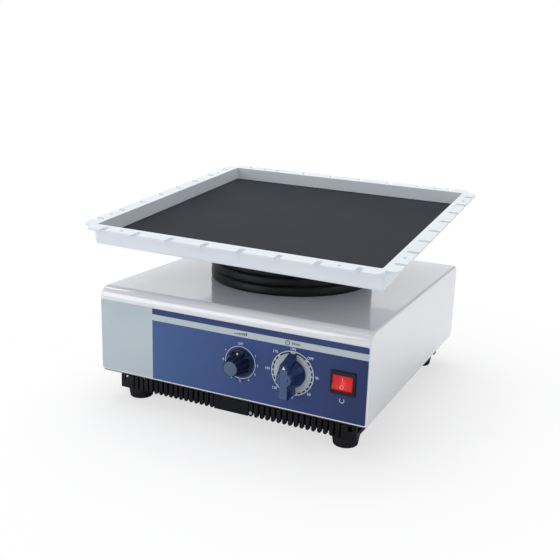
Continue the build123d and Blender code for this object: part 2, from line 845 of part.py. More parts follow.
with BuildPart() as power_inlet:
    with BuildSketch(rear_plane):
        with Locations((inlet_u, inlet_v)):
            RectangleRounded(inlet_flange_width, inlet_flange_height, 3.0)
        with Locations(*inlet_screw_points):
            Circle(small_shank_radius + screw_gap, mode=Mode.SUBTRACT)
    extrude(amount=inlet_flange_thickness)
    with BuildSketch(rear_plane):
        with Locations((inlet_u, inlet_v)):
            Rectangle(inlet_body_width, inlet_body_height)
    extrude(amount=-inlet_body_depth)
    # Six-sided mouth: the lower corners are cut off at 45 degrees.
    with BuildSketch(inlet_face_plane):
        half_w = inlet_mouth_width / 2
        half_h = inlet_mouth_height / 2
        cut = 5.0
        with BuildLine():
            Polyline(
                (inlet_u - half_w, mouth_v + half_h),
                (inlet_u + half_w, mouth_v + half_h),
                (inlet_u + half_w, mouth_v - half_h + cut),
                (inlet_u + half_w - cut, mouth_v - half_h),
                (inlet_u - half_w + cut, mouth_v - half_h),
                (inlet_u - half_w, mouth_v - half_h + cut),
                close=True,
            )
        make_face()
    extrude(amount=-inlet_mouth_depth, mode=Mode.SUBTRACT)
    with BuildSketch(inlet_face_plane):
        with Locations((inlet_u, drawer_v)):
            Rectangle(drawer_width + 2 * drawer_gap, drawer_height + 2 * drawer_gap)
    extrude(amount=-drawer_depth - drawer_gap, mode=Mode.SUBTRACT)
power_inlet.part.label = "power_inlet"
export_step(power_inlet.part, "parts/power_inlet.step")

pin_spread = 7.0
pin_points = [
    (inlet_u, mouth_v + 2.5),
    (inlet_u - pin_spread, mouth_v - 1.5),
    (inlet_u + pin_spread, mouth_v - 1.5),
]
with BuildPart() as inlet_pins:
    with BuildSketch(inlet_face_plane.offset(-inlet_mouth_depth)):
        with Locations(*pin_points):
            Rectangle(2.0, 4.0)
    extrude(amount=inlet_mouth_depth - 3.0)
inlet_pins.part.label = "inlet_pins"
export_step(inlet_pins.part, "parts/inlet_pins.step")

fuse_spread = drawer_width / 4
fuse_clear = 0.1
with BuildPart() as fuse_drawer:
    with BuildSketch(inlet_face_plane):
        with Locations((inlet_u, drawer_v)):
            Rectangle(drawer_width, drawer_height)
    extrude(amount=-drawer_depth)
    with BuildSketch(inlet_face_plane.offset(-drawer_depth)):
        with Locations((inlet_u - fuse_spread, drawer_v), (inlet_u + fuse_spread, drawer_v)):
            Circle(fuse_radius + fuse_clear)
    extrude(amount=fuse_length, mode=Mode.SUBTRACT)
    # Finger lip on the drawer's face.
    with BuildSketch(inlet_face_plane):
        with Locations((inlet_u, drawer_v + drawer_height / 4)):
            Rectangle(drawer_width * 0.6, 1.6)
    extrude(amount=1.5)
fuse_drawer.part.label = "fuse_drawer"
export_step(fuse_drawer.part, "parts/fuse_drawer.step")

with BuildPart() as fuses:
    with BuildSketch(inlet_face_plane.offset(fuse_length - drawer_depth)):
        with Locations((inlet_u - fuse_spread, drawer_v), (inlet_u + fuse_spread, drawer_v)):
            Circle(fuse_radius)
    extrude(amount=-fuse_length)
fuses.part.label = "fuses"
export_step(fuses.part, "parts/fuses.step")

inlet_screws = small_screws(
    inlet_face_plane, inlet_screw_points, inlet_flange_thickness + cover_sheet + 4.0
)
inlet_screws.part.label = "inlet_screws"
export_step(inlet_screws.part, "parts/inlet_screws.step")

# ---------------------------------------------------------------------------------------
# Transformer, control board and wiring on the base plate
# ---------------------------------------------------------------------------------------

transformer_window = transformer_width / 6
coil_half_depth = transformer_depth / 2 + coil_overhang
core_foot = 8.0
core_foot_sheet = 2.0
transformer_screw_points = [
    (-electrics_x + sx * (transformer_width / 2 - 8.0),
     transformer_y + sy * (transformer_depth / 2 + core_foot / 2))
    for sx in (-1, 1)
    for sy in (-1, 1)
]
with BuildPart() as transformer_core:
    with BuildSketch(Plane.XZ.offset(-transformer_y - transformer_depth / 2)):
        with Locations((-electrics_x, base_top + transformer_height / 2)):
            Rectangle(transformer_width, transformer_height)
        for side in (-1, 1):
            window_x = -electrics_x + side * (transformer_width / 6 + transformer_window / 2)
            with Locations((window_x, base_top + transformer_height / 2)):
                Rectangle(
                    transformer_window,
                    transformer_height - 2 * transformer_window,
                    mode=Mode.SUBTRACT,
                )
    extrude(amount=transformer_depth)
    with BuildSketch(Plane.XY.offset(base_top)):
        with Locations((-electrics_x, transformer_y)):
            Rectangle(transformer_width, transformer_depth + 2 * core_foot)
    extrude(amount=core_foot_sheet)
    with BuildSketch(Plane.XY.offset(base_top)):
        with Locations(*transformer_screw_points):
            Circle(small_shank_radius + screw_gap)
    extrude(amount=core_foot_sheet, mode=Mode.SUBTRACT)
transformer_core.part.label = "transformer_core"
export_step(transformer_core.part, "parts/transformer_core.step")

coil_gap = 0.3
with BuildPart() as transformer_coil:
    coil_height = transformer_height - 2 * transformer_window - 2 * coil_gap
    with BuildSketch(Plane.XY.offset(base_top + transformer_window + coil_gap)):
        with Locations((-electrics_x, transformer_y)):
            RectangleRounded(
                transformer_width / 3 + 2 * transformer_window - 2 * coil_gap,
                2 * coil_half_depth - 2 * coil_gap,
                4.0,
            )
            Rectangle(
                transformer_width / 3 + 2 * coil_gap,
                transformer_depth + 2 * coil_gap,
                mode=Mode.SUBTRACT,
            )
    extrude(amount=coil_height)
transformer_coil.part.label = "transformer_coil"
export_step(transformer_coil.part, "parts/transformer_coil.step")

board_bottom = base_top + standoff_height
standoff_inset = 5.0
standoff_points = [
    (electrics_x + sx * (board_width / 2 - standoff_inset),
     board_y + sy * (board_length / 2 - standoff_inset))
    for sx in (-1, 1)
    for sy in (-1, 1)
]
with BuildPart() as board_standoffs:
    with BuildSketch(Plane.XY.offset(base_top)):
        with Locations(*standoff_points):
            RegularPolygon(standoff_radius, 6)
            Circle(small_shank_radius + screw_gap, mode=Mode.SUBTRACT)
    extrude(amount=standoff_height)
board_standoffs.part.label = "board_standoffs"
export_step(board_standoffs.part, "parts/board_standoffs.step")

with BuildPart() as control_board:
    with BuildSketch(Plane.XY.offset(board_bottom)):
        with Locations((electrics_x, board_y)):
            RectangleRounded(board_width, board_length, 2.0)
        with Locations(*standoff_points):
            Circle(small_shank_radius + screw_gap, mode=Mode.SUBTRACT)
    extrude(amount=board_sheet)
control_board.part.label = "control_board"
export_step(control_board.part, "parts/control_board.step")

board_top = board_bottom + board_sheet
sink_x = electrics_x + board_width / 2 - sink_width / 2 - 1.0
with BuildPart() as heat_sink:
    with BuildSketch(Plane.XY.offset(board_top)):
        with Locations((sink_x, board_y)):
            Rectangle(sink_width, sink_length)
    extrude(amount=3.0)
    with BuildSketch(Plane.XY.offset(board_top + 3.0)):
        with GridLocations(5.0, 1, 5, 1):
            with Locations((sink_x, board_y)):
                Rectangle(1.5, sink_length)
    extrude(amount=sink_height - 3.0)
heat_sink.part.label = "heat_sink"
export_step(heat_sink.part, "parts/heat_sink.step")

block_top = board_top + block_height
front_block_y = board_y - board_length / 2 + 10.0
rear_block_y = board_y + board_length / 2 - 10.0
capacitor_x = electrics_x - board_width / 2 + capacitor_radius + 4.0
with BuildPart() as board_components:
    with BuildSketch(Plane.XY.offset(board_top)):
        with Locations(
            (capacitor_x, board_y + 3 * capacitor_radius),
            (capacitor_x, board_y + 0.6 * capacitor_radius),
        ):
            Circle(capacitor_radius)
    extrude(amount=capacitor_height)
    with BuildSketch(Plane.XY.offset(board_top)):
        with Locations((electrics_x - 4.0, front_block_y)):
            Rectangle(front_block_length, block_depth)
        with Locations((electrics_x - 12.0, rear_block_y)):
            Rectangle(rear_block_length, block_depth)
    extrude(amount=block_height)
    with BuildSketch(Plane.XY.offset(board_top)):
        with Locations((capacitor_x, board_y - 2 * capacitor_radius)):
            Rectangle(9.0, 22.0)
    extrude(amount=4.0)
board_components.part.label = "board_components"
export_step(board_components.part, "parts/board_components.step")

# ---------------------------------------------------------------------------------------
# Drive frame, bearing housing and bearings
# ---------------------------------------------------------------------------------------

frame_top = base_top + frame_height
frame_centre_y = (frame_rear - frame_front) / 2
frame_length = frame_front + frame_rear
foot_screw_x = frame_width / 2 + frame_foot / 2
frame_screw_points = [
    (sx * foot_screw_x, frame_centre_y + sy * (frame_length / 2 - 12.0))
    for sx in (-1, 1)
    for sy in (-1, 1)
]
bearing_screw_radius = (bearing_housing_radius + bearing_flange_radius) / 2
bearing_screw_points = [
    (bearing_screw_radius * cos(a), bearing_screw_radius * sin(a))
    for a in [pi / 4 + i * pi / 2 for i in range(4)]
]
motor_screw_points = [
    (motor_radius * 0.7 * cos(a), motor_distance + motor_radius * 0.7 * sin(a))
    for a in [pi / 4 + i * pi / 2 for i in range(4)]
]

with BuildPart() as drive_frame:
    # Inverted channel, open at the front and the rear for the belt.
    with BuildSketch(Plane.XZ.offset(frame_front)):
        with Locations((0, base_top + frame_height / 2)):
            Rectangle(frame_width, frame_height)
        with Locations((0, base_top + (frame_height - frame_sheet) / 2)):
            Rectangle(
                frame_width - 2 * frame_sheet, frame_height - frame_sheet, mode=Mode.SUBTRACT
            )
        with Locations((-foot_screw_x, base_top + frame_sheet / 2)):
            Rectangle(frame_foot, frame_sheet)
        with Locations((foot_screw_x, base_top + frame_sheet / 2)):
            Rectangle(frame_foot, frame_sheet)
    extrude(amount=-frame_length)
    with BuildSketch(Plane.XY.offset(frame_top - frame_sheet)):
        Circle(shaft_radius + 3.0)
        with Locations((0, motor_distance)):
            Circle(motor_shaft_radius + 4.0)
        with Locations(*bearing_screw_points):
            Circle(large_shank_radius + screw_gap)
        with Locations(*motor_screw_points):
            Circle(small_shank_radius + screw_gap)
    extrude(amount=frame_sheet, mode=Mode.SUBTRACT)
    with BuildSketch(Plane.XY.offset(base_top)):
        with Locations(*frame_screw_points):
            Circle(large_shank_radius + screw_gap)
    extrude(amount=frame_sheet, mode=Mode.SUBTRACT)
drive_frame.part.label = "drive_frame"
export_step(drive_frame.part, "parts/drive_frame.step")

bearing_top = frame_top + bearing_housing_height
bearing_floor = 3.0
lower_bearing_z = frame_top + bearing_floor
upper_bearing_z = bearing_top - bearing_floor - bearing_width
with BuildPart() as bearing_housing:
    with BuildSketch(Plane.XY.offset(frame_top)):
        Circle(bearing_flange_radius)
    extrude(amount=bearing_flange_height)
    with BuildSketch(Plane.XY.offset(frame_top)):
        Circle(bearing_housing_radius)
    extrude(amount=bearing_housing_height)
    with BuildSketch(Plane.XY.offset(frame_top)):
        Circle(shaft_radius + 4.0)
    extrude(amount=bearing_housing_height, mode=Mode.SUBTRACT)
    # Bearing seats, open at the top and bottom, with a wall between them.
    with BuildSketch(Plane.XY.offset(frame_top)):
        Circle(bearing_outer_radius)
    extrude(amount=bearing_floor + bearing_width, mode=Mode.SUBTRACT)
    with BuildSketch(Plane.XY.offset(upper_bearing_z)):
        Circle(bearing_outer_radius)
    extrude(amount=bearing_width + bearing_floor, mode=Mode.SUBTRACT)
    with BuildSketch(Plane.XY.offset(frame_top)):
        with Locations(*bearing_screw_points):
            Circle(large_shank_radius + screw_gap)
    extrude(amount=bearing_flange_height, mode=Mode.SUBTRACT)
bearing_housing.part.label = "bearing_housing"
export_step(bearing_housing.part, "parts/bearing_housing.step")

with BuildPart() as shaft_bearings:
    for height in (lower_bearing_z, upper_bearing_z):
        with BuildSketch(Plane.XY.offset(height)):
            Circle(bearing_outer_radius)
            Circle(shaft_radius + running_gap, mode=Mode.SUBTRACT)
        extrude(amount=bearing_width)
shaft_bearings.part.label = "shaft_bearings"
export_step(shaft_bearings.part, "parts/shaft_bearings.step")

# Rings that keep the bearings in their seats: one below, one above.
with BuildPart() as bearing_rings:
    for height in (frame_top, upper_bearing_z + bearing_width):
        with BuildSketch(Plane.XY.offset(height)):
            Circle(bearing_outer_radius)
            Circle(bearing_outer_radius - 3.5, mode=Mode.SUBTRACT)
        extrude(amount=bearing_floor)
bearing_rings.part.label = "bearing_rings"
export_step(bearing_rings.part, "parts/bearing_rings.step")

bearing_screw_z = frame_top + bearing_flange_height
with BuildPart() as drive_screws:
    frame_set = large_screws(
        Plane.XY.offset(base_top + frame_sheet), frame_screw_points, frame_sheet
    )
    bearing_set = large_screws(
        Plane.XY.offset(bearing_screw_z),
        bearing_screw_points,
        bearing_flange_height + frame_sheet,
    )
    add(frame_set.part)
    add(bearing_set.part)
drive_screws.part.label = "drive_screws"
export_step(drive_screws.part, "parts/drive_screws.step")

# ---------------------------------------------------------------------------------------
# Gearmotor, pulleys and belt
# ---------------------------------------------------------------------------------------

pulley_middle = base_top + (frame_height - frame_sheet) / 2
pulley_bottom = pulley_middle - pulley_width / 2
motor_plane = Plane(origin=(0, motor_distance, frame_top))

with BuildPart() as gearmotor:
    with BuildSketch(motor_plane):
        Circle(motor_radius)
    extrude(amount=gearbox_height)
    with BuildSketch(motor_plane.offset(gearbox_height)):
        Circle(motor_radius - 2.0)
    extrude(amount=motor_height)
    with BuildSketch(motor_plane):
        Circle(motor_shaft_radius + running_gap)
        with Locations(*[(x, y - motor_distance) for x, y in motor_screw_points]):
            Circle(small_shank_radius + screw_gap)
    extrude(amount=gearbox_height / 2, mode=Mode.SUBTRACT)
gearmotor.part.label = "gearmotor"
export_step(gearmotor.part, "parts/gearmotor.step")

motor_screw_plane = Plane(
    origin=(0, 0, frame_top - frame_sheet), x_dir=(1, 0, 0), z_dir=(0, 0, -1)
)
with BuildPart() as chassis_screws:
    motor_set = small_screws(
        motor_screw_plane, [(x, -y) for x, y in motor_screw_points], frame_sheet + 6.0
    )
    board_set = small_screws(
        Plane.XY.offset(board_top), standoff_points, board_sheet + standoff_height - 1.0
    )
    transformer_set = small_screws(
        Plane.XY.offset(base_top + core_foot_sheet), transformer_screw_points, core_foot_sheet
    )
    add(motor_set.part)
    add(board_set.part)
    add(transformer_set.part)
chassis_screws.part.label = "chassis_screws"
export_step(chassis_screws.part, "parts/chassis_screws.step")

motor_shaft_bottom = pulley_bottom - 1.0
with BuildPart() as motor_shaft:
    with BuildSketch(Plane(origin=(0, motor_distance, motor_shaft_bottom))):
        Circle(motor_shaft_radius)
    extrude(amount=frame_top + gearbox_height / 2 - 0.5 - motor_shaft_bottom)
motor_shaft.part.label = "motor_shaft"
export_step(motor_shaft.part, "parts/motor_shaft.step")


def pulley(name, centre_y, radius, bore_radius):
    """Flat-belt pulley with a rim at each edge and a bored hub."""
    with BuildPart() as wheel:
        with BuildSketch(Plane(origin=(0, centre_y, pulley_bottom))):
            Circle(radius)
        extrude(amount=pulley_width)
        for height in (pulley_bottom, pulley_bottom + pulley_width - pulley_rim_width):
            with BuildSketch(Plane(origin=(0, centre_y, height))):
                Circle(radius + pulley_rim)
            extrude(amount=pulley_rim_width)
        with BuildSketch(Plane(origin=(0, centre_y, pulley_bottom))):
            Circle(bore_radius)
        extrude(amount=pulley_width, mode=Mode.SUBTRACT)
    wheel.part.label = name
    export_step(wheel.part, f"parts/{name}.step")
    return wheel


drive_pulley = pulley("drive_pulley", 0, pulley_radius, shaft_radius)
motor_pulley = pulley("motor_pulley", motor_distance, motor_pulley_radius, motor_shaft_radius)

belt_plane = Plane.XY.offset(pulley_middle - belt_width / 2)


def belt_outline(offset_by):
    """The closed line round both pulleys, offset outwards from their running faces."""
    front = pulley_radius + offset_by
    rear = motor_pulley_radius + offset_by
    lean = asin((front - rear) / motor_distance)
    across, along = cos(lean), sin(lean)
    with BuildSketch(belt_plane) as outline:
        with BuildLine():
            right_front = (front * across, front * along)
            right_rear = (rear * across, motor_distance + rear * along)
            left_front = (-front * across, front * along)
            left_rear = (-rear * across, motor_distance + rear * along)
            Line(right_front, right_rear)
            ThreePointArc(right_rear, (0, motor_distance + rear), left_rear)
            Line(left_rear, left_front)
            ThreePointArc(left_front, (0, -front), right_front)
        make_face()
    return outline.sketch


with BuildPart() as drive_belt:
    extrude(belt_outline(fit_gap + belt_thickness), amount=belt_width)
    extrude(belt_outline(fit_gap), amount=belt_width, mode=Mode.SUBTRACT)
drive_belt.part.label = "drive_belt"
export_step(drive_belt.part, "parts/drive_belt.step")

# ---------------------------------------------------------------------------------------
# Wiring: each lead is straight runs joined by arcs, from one terminal to the next
# ---------------------------------------------------------------------------------------

tag_y = inner_front_plane.origin.Y + 6.0
switch_tag_y = panel_plane.origin.Y + switch_body_depth + 8.0
inlet_back_y = rear_y - inlet_body_depth
motor_side_x = motor_radius - 2.0
coil_front_y = transformer_y - coil_half_depth + coil_gap
belt_side_z = base_top + 8.0
clear_front_y = -frame_front - 18.0
high_z = housing_top - 24.0
lead_spread = 6.0

lead_routes = [
    # Mains inlet to the switch, high above the board.
    [
        (inlet_x, inlet_back_y, inlet_centre[1]),
        (inlet_x, inlet_back_y - 14, inlet_centre[1]),
        (inlet_x + 4, inlet_back_y - 34, high_z),
        (switch_x - lead_spread, switch_tag_y + 44, high_z),
        (switch_x - lead_spread, switch_tag_y + 16, pivot_z + 5),
        (switch_x - lead_spread, switch_tag_y, pivot_z + 5),
    ],
    # Switch to the board.
    [
        (switch_x + lead_spread, switch_tag_y, pivot_z - 5),
        (switch_x + lead_spread, switch_tag_y + 18, pivot_z - 5),
        (electrics_x + 8, front_block_y - 16, block_top + 14),
        (electrics_x + 8, front_block_y, block_top + 12),
        (electrics_x + 8, front_block_y, block_top),
    ],
    # Speed control to the board.
    [
        (speed_x, tag_y + pot_depth, dial_z),
        (speed_x, tag_y + pot_depth + 16, dial_z),
        (electrics_x - 30, front_block_y - 28, dial_z - 4),
        (electrics_x - 14, front_block_y - 8, block_top + 16),
        (electrics_x - 14, front_block_y, block_top + 12),
        (electrics_x - 14, front_block_y, block_top),
    ],
    # Timer to the board.
    [
        (timer_x, tag_y + timer_body_depth, dial_z),
        (timer_x, tag_y + timer_body_depth + 14, dial_z),
        (electrics_x - 5, front_block_y - 12, block_top + 15),
        (electrics_x - 3, front_block_y, block_top + 12),
        (electrics_x - 3, front_block_y, block_top),
    ],
    # Motor to the board's rear terminals.
    [
        (motor_side_x, motor_distance, high_z),
        (motor_side_x + 16, motor_distance, high_z),
        (electrics_x - 26, rear_block_y + 18, block_top + 24),
        (electrics_x - 16, rear_block_y, block_top + 14),
        (electrics_x - 16, rear_block_y, block_top),
    ],
    # Transformer to the board's front terminals, round the front of the drive frame.
    [
        (-electrics_x, coil_front_y, base_top + 24),
        (-electrics_x, coil_front_y - 22, base_top + 24),
        (-electrics_x + 16, clear_front_y + 30, belt_side_z),
        (-electrics_x + 60, clear_front_y, belt_side_z),
        (electrics_x - 60, clear_front_y, belt_side_z),
        (electrics_x + 2, front_block_y - 16, belt_side_z + 22),
        (electrics_x + 3, front_block_y, block_top + 14),
        (electrics_x + 3, front_block_y, block_top),
    ],
]


def bend_radii(route):
    """As large an arc at each corner as the two runs beside it leave room for."""
    radii = []
    for before, corner, after in zip(route, route[1:], route[2:]):
        run_in = Vector(*corner) - Vector(*before)
        run_out = Vector(*after) - Vector(*corner)
        half_turn = radians(run_in.get_angle(run_out)) / 2
        radii.append(0.45 * min(run_in.length, run_out.length) / tan(half_turn))
    return radii


with BuildPart() as wiring:
    for route in lead_routes:
        with BuildLine() as lead:
            FilletPolyline(*route, radius=bend_radii(route))
        with BuildSketch(Plane(origin=lead.line @ 0, z_dir=lead.line % 0)):
            Circle(wire_radius)
        sweep(path=lead.line)
wiring.part.label = "wiring"
export_step(wiring.part, "parts/wiring.step")

# ---------------------------------------------------------------------------------------
# Rotor: upright shaft, leaning pin and their hub
# ---------------------------------------------------------------------------------------

hub_bottom = bearing_top + 3.0
hub_top = hub_bottom + hub_height
shaft_bottom = pulley_bottom - 3.0
shaft_top = hub_bottom + 9.0
with BuildPart() as main_shaft:
    with BuildSketch(Plane.XY.offset(shaft_bottom)):
        Circle(shaft_radius)
    extrude(amount=shaft_top - shaft_bottom)
    # Groove for the retaining ring below the lower bearing.
    with BuildSketch(Plane.XY.offset(pulley_bottom + pulley_width + 2.0)):
        Circle(shaft_radius)
        Circle(shaft_radius - 1.0, mode=Mode.SUBTRACT)
    extrude(amount=1.5, mode=Mode.SUBTRACT)
main_shaft.part.label = "main_shaft"
export_step(main_shaft.part, "parts/main_shaft.step")

with BuildPart() as retaining_ring:
    with BuildSketch(Plane.XY.offset(pulley_bottom + pulley_width + 2.0)):
        Circle(shaft_radius + 2.5)
        Circle(shaft_radius - 1.0, mode=Mode.SUBTRACT)
        with Locations((0, -shaft_radius)):
            Rectangle(8.0, 8.0, mode=Mode.SUBTRACT)
    extrude(amount=1.5)
retaining_ring.part.label = "retaining_ring"
export_step(retaining_ring.part, "parts/retaining_ring.step")

# Distances along the leaning pin, measured from the wobble centre.
hub_face_drop = (wobble_height - hub_top) / cos(radians(tilt_angle))
platform_hub_bottom = -tray_depth - platform_hub_length
upper_seat = -tray_depth - platform_flange_height - pin_bearing_width
lower_seat = platform_hub_bottom + 2.0
pin_top = upper_seat + pin_bearing_width + 1.0
pin_bottom = -hub_face_drop - 9.0

with BuildPart() as wobble_hub:
    with BuildSketch(Plane.XY.offset(hub_bottom)):
        Circle(hub_radius)
    extrude(amount=hub_height)
    with BuildSketch(Plane.XY.offset(hub_bottom)):
        Circle(shaft_radius)
    extrude(amount=shaft_top - hub_bottom, mode=Mode.SUBTRACT)
    with BuildSketch(platform_plane.offset(pin_bottom)):
        Circle(pin_radius)
    extrude(amount=-pin_bottom, mode=Mode.SUBTRACT)
wobble_hub.part.label = "wobble_hub"
export_step(wobble_hub.part, "parts/wobble_hub.step")

with BuildPart() as wobble_pin:
    with BuildSketch(platform_plane.offset(pin_bottom)):
        Circle(pin_radius)
    extrude(amount=pin_top - pin_bottom)
wobble_pin.part.label = "wobble_pin"
export_step(wobble_pin.part, "parts/wobble_pin.step")

with BuildPart() as pin_washer:
    with BuildSketch(platform_plane.offset(pin_top)):
        Circle(pin_radius + 2.0)
    extrude(amount=1.5)
pin_washer.part.label = "pin_washer"
export_step(pin_washer.part, "parts/pin_washer.step")

# ---------------------------------------------------------------------------------------
# Platform: hub with its bearings, tray and mat
# ---------------------------------------------------------------------------------------

platform_screw_radius = platform_flange_radius - 8.0
platform_screw_points = [
    (platform_screw_radius * cos(a), platform_screw_radius * sin(a))
    for a in [pi / 4 + i * pi / 2 for i in range(4)]
]
with BuildPart() as platform_hub:
    with BuildSketch(tray_bottom_plane):
        Circle(platform_flange_radius)
    extrude(amount=-platform_flange_height)
    with BuildSketch(tray_bottom_plane):
        Circle(platform_hub_radius)
    extrude(amount=-platform_hub_length)
    # Bore with a seat for a bearing at each end.
    with BuildSketch(platform_plane.offset(platform_hub_bottom)):
        Circle(pin_radius + 4.0)
    extrude(amount=platform_hub_length, mode=Mode.SUBTRACT)
    with BuildSketch(platform_plane.offset(platform_hub_bottom)):
        Circle(pin_bearing_radius)
    extrude(amount=2.0 + pin_bearing_width, mode=Mode.SUBTRACT)
    with BuildSketch(platform_plane.offset(upper_seat)):
        Circle(pin_bearing_radius)
    extrude(amount=-tray_depth - upper_seat, mode=Mode.SUBTRACT)
    with BuildSketch(tray_bottom_plane):
        with Locations(*platform_screw_points):
            Circle(large_shank_radius + screw_gap)
    extrude(amount=-platform_flange_height, mode=Mode.SUBTRACT)
platform_hub.part.label = "platform_hub"
export_step(platform_hub.part, "parts/platform_hub.step")

with BuildPart() as platform_bearings:
    for seat in (lower_seat, upper_seat):
        with BuildSketch(platform_plane.offset(seat)):
            Circle(pin_bearing_radius)
            Circle(pin_radius + running_gap, mode=Mode.SUBTRACT)
        extrude(amount=pin_bearing_width)
platform_bearings.part.label = "platform_bearings"
export_step(platform_bearings.part, "parts/platform_bearings.step")

tray_outer = tray_opening + 2 * tray_wall
slot_first = -(slot_count - 1) / 2 * slot_pitch


def flange_strip(angle):
    """One side's strip of the flange, with slots from its outer edge and two small holes."""
    plane = Plane(
        origin=platform_plane.origin,
        x_dir=platform_plane.x_dir.rotate(Axis((0, 0, 0), platform_plane.z_dir), angle),
        z_dir=platform_plane.z_dir,
    )
    inner = tray_opening / 2
    outer = inner + flange_reach
    half = inner + flange_corner
    with BuildSketch(plane) as strip:
        with BuildLine():
            Polyline(
                (-half, -inner),
                (-half, -outer + flange_end_radius),
            )
            RadiusArc(
                (-half, -outer + flange_end_radius),
                (-half + flange_end_radius, -outer),
                -flange_end_radius,
            )
            Line((-half + flange_end_radius, -outer), (half - flange_end_radius, -outer))
            RadiusArc(
                (half - flange_end_radius, -outer),
                (half, -outer + flange_end_radius),
                -flange_end_radius,
            )
            Polyline((half, -outer + flange_end_radius), (half, -inner), (-half, -inner))
        make_face()
        for i in range(slot_count):
            slot_x = slot_first + i * slot_pitch
            with Locations((slot_x, -outer + (slot_depth - slot_width / 2) / 2)):
                Rectangle(slot_width, slot_depth - slot_width / 2, mode=Mode.SUBTRACT)
            with Locations((slot_x, -outer + slot_depth - slot_width / 2)):
                Circle(slot_width / 2, mode=Mode.SUBTRACT)
        with Locations(
            (-hole_spacing / 2, -outer + flange_hole_inset),
            (hole_spacing / 2, -outer + flange_hole_inset),
        ):
            Circle(flange_hole_radius, mode=Mode.SUBTRACT)
    return strip.sketch


with BuildPart() as tray:
    with BuildSketch(tray_bottom_plane):
        RectangleRounded(tray_outer, tray_outer, tray_corner_radius)
    extrude(amount=tray_depth)
    fillet(
        tray.faces().sort_by(Axis(platform_plane.origin, platform_plane.z_dir))[0].edges(),
        radius=tray_foot_radius - 1.0,
    )
    with BuildSketch(floor_top_plane):
        RectangleRounded(tray_opening, tray_opening, tray_corner_radius - 1.5)
    extrude(amount=tray_depth, mode=Mode.SUBTRACT)
    for quarter in range(4):
        extrude(flange_strip(90 * quarter), amount=-flange_sheet)
    with BuildSketch(tray_bottom_plane):
        with Locations(*platform_screw_points):
            Circle(large_shank_radius + screw_gap)
        with Locations(*ring_points):
            Circle(small_shank_radius + screw_gap)
    extrude(amount=tray_floor, mode=Mode.SUBTRACT)
tray.part.label = "tray"
export_step(tray.part, "parts/tray.step")

hub_under_plane = Plane(
    origin=tray_bottom_plane.offset(-platform_flange_height).origin,
    x_dir=platform_plane.x_dir,
    z_dir=-platform_plane.z_dir,
)
platform_screws = large_screws(
    hub_under_plane,
    [(x, -y) for x, y in platform_screw_points],
    platform_flange_height + tray_floor,
)
platform_screws.part.label = "platform_screws"
export_step(platform_screws.part, "parts/platform_screws.step")

with BuildPart() as mat:
    with BuildSketch(floor_top_plane):
        RectangleRounded(
            tray_opening - 2 * mat_gap, tray_opening - 2 * mat_gap, tray_corner_radius
        )
    extrude(amount=mat_thickness)
mat.part.label = "mat"
export_step(mat.part, "parts/mat.step")

# ---------------------------------------------------------------------------------------
# Bellows and clamp rings
# ---------------------------------------------------------------------------------------

bellows_seat_gap = 0.2
bellows_bottom = housing_top + bellows_seat_gap
bellows_top_point = tray_bottom_plane.offset(-bellows_seat_gap).origin
bellows_rise = bellows_top_point - Vector(0, 0, bellows_bottom)


def bellows_plane(share):
    """The plane of a bellows ring, from level at the housing to leaning at the tray."""
    return leaning_plane(
        Vector(0, 0, bellows_bottom) + bellows_rise * share, tilt_angle * share
    )


def bellows_ring(share, radius, offset_by=0):
    """A round section of the bellows, at this share of its height."""
    with BuildSketch(bellows_plane(share).offset(offset_by)) as section:
        Circle(radius)
    return section.sketch


shoulder = 0.22
end_radius = bellows_radius - bellows_groove / 3
inner_radius = bellows_radius - bellows_groove - bellows_wall
fold_sections = [bellows_ring(0, end_radius)]
for fold in range(bellows_folds):
    fold_sections.append(bellows_ring((fold + shoulder) / bellows_folds, bellows_radius))
    fold_sections.append(bellows_ring((fold + 1 - shoulder) / bellows_folds, bellows_radius))
    if fold < bellows_folds - 1:
        groove_share = (fold + 1) / bellows_folds
        fold_sections.append(bellows_ring(groove_share, bellows_radius - bellows_groove))
fold_sections.append(bellows_ring(1, end_radius))
cavity_sections = [
    bellows_ring(0, inner_radius, bellows_wall),
    bellows_ring(1, inner_radius, -bellows_wall),
]
lower_mouth = bellows_ring(0, bellows_flange_radius, -1)
upper_mouth = bellows_ring(1, bellows_flange_radius, 1)
mouth_depth = bellows_wall + 2

with BuildPart() as bellows:
    loft(fold_sections, ruled=True)
    loft(cavity_sections, ruled=True, mode=Mode.SUBTRACT)
    extrude(lower_mouth, amount=mouth_depth, mode=Mode.SUBTRACT)
    extrude(upper_mouth, amount=-mouth_depth, mode=Mode.SUBTRACT)
bellows.part.label = "bellows"
export_step(bellows.part, "parts/bellows.step")

ring_step = bellows_wall + 2 * bellows_seat_gap
ring_shank = ring_step + ring_height


def clamp_ring(name, plane, height):
    """Stepped ring: its inner part is bolted down and its outer part holds the bellows."""
    with BuildPart() as ring:
        with BuildSketch(plane):
            Circle(bellows_flange_radius - fit_gap)
        extrude(amount=ring_step)
        with BuildSketch(plane.offset(ring_step)):
            Circle(ring_outer_radius)
        extrude(amount=ring_height)
        with BuildSketch(plane):
            Circle(ring_inner_radius)
            with Locations(*[(x, y * height) for x, y in ring_points]):
                Circle(small_shank_radius + screw_gap)
        extrude(amount=ring_shank, mode=Mode.SUBTRACT)
    ring.part.label = name
    export_step(ring.part, f"parts/{name}.step")
    return ring


lower_ring_plane = Plane.XY.offset(housing_top)
upper_ring_plane = Plane(
    origin=tray_bottom_plane.origin, x_dir=platform_plane.x_dir, z_dir=-platform_plane.z_dir
)
lower_clamp_ring = clamp_ring("lower_clamp_ring", lower_ring_plane, 1)
upper_clamp_ring = clamp_ring("upper_clamp_ring", upper_ring_plane, -1)

lower_ring_screws = small_screws(
    lower_ring_plane.offset(ring_shank), ring_points, ring_shank + cover_sheet
)
lower_ring_screws.part.label = "lower_ring_screws"
export_step(lower_ring_screws.part, "parts/lower_ring_screws.step")

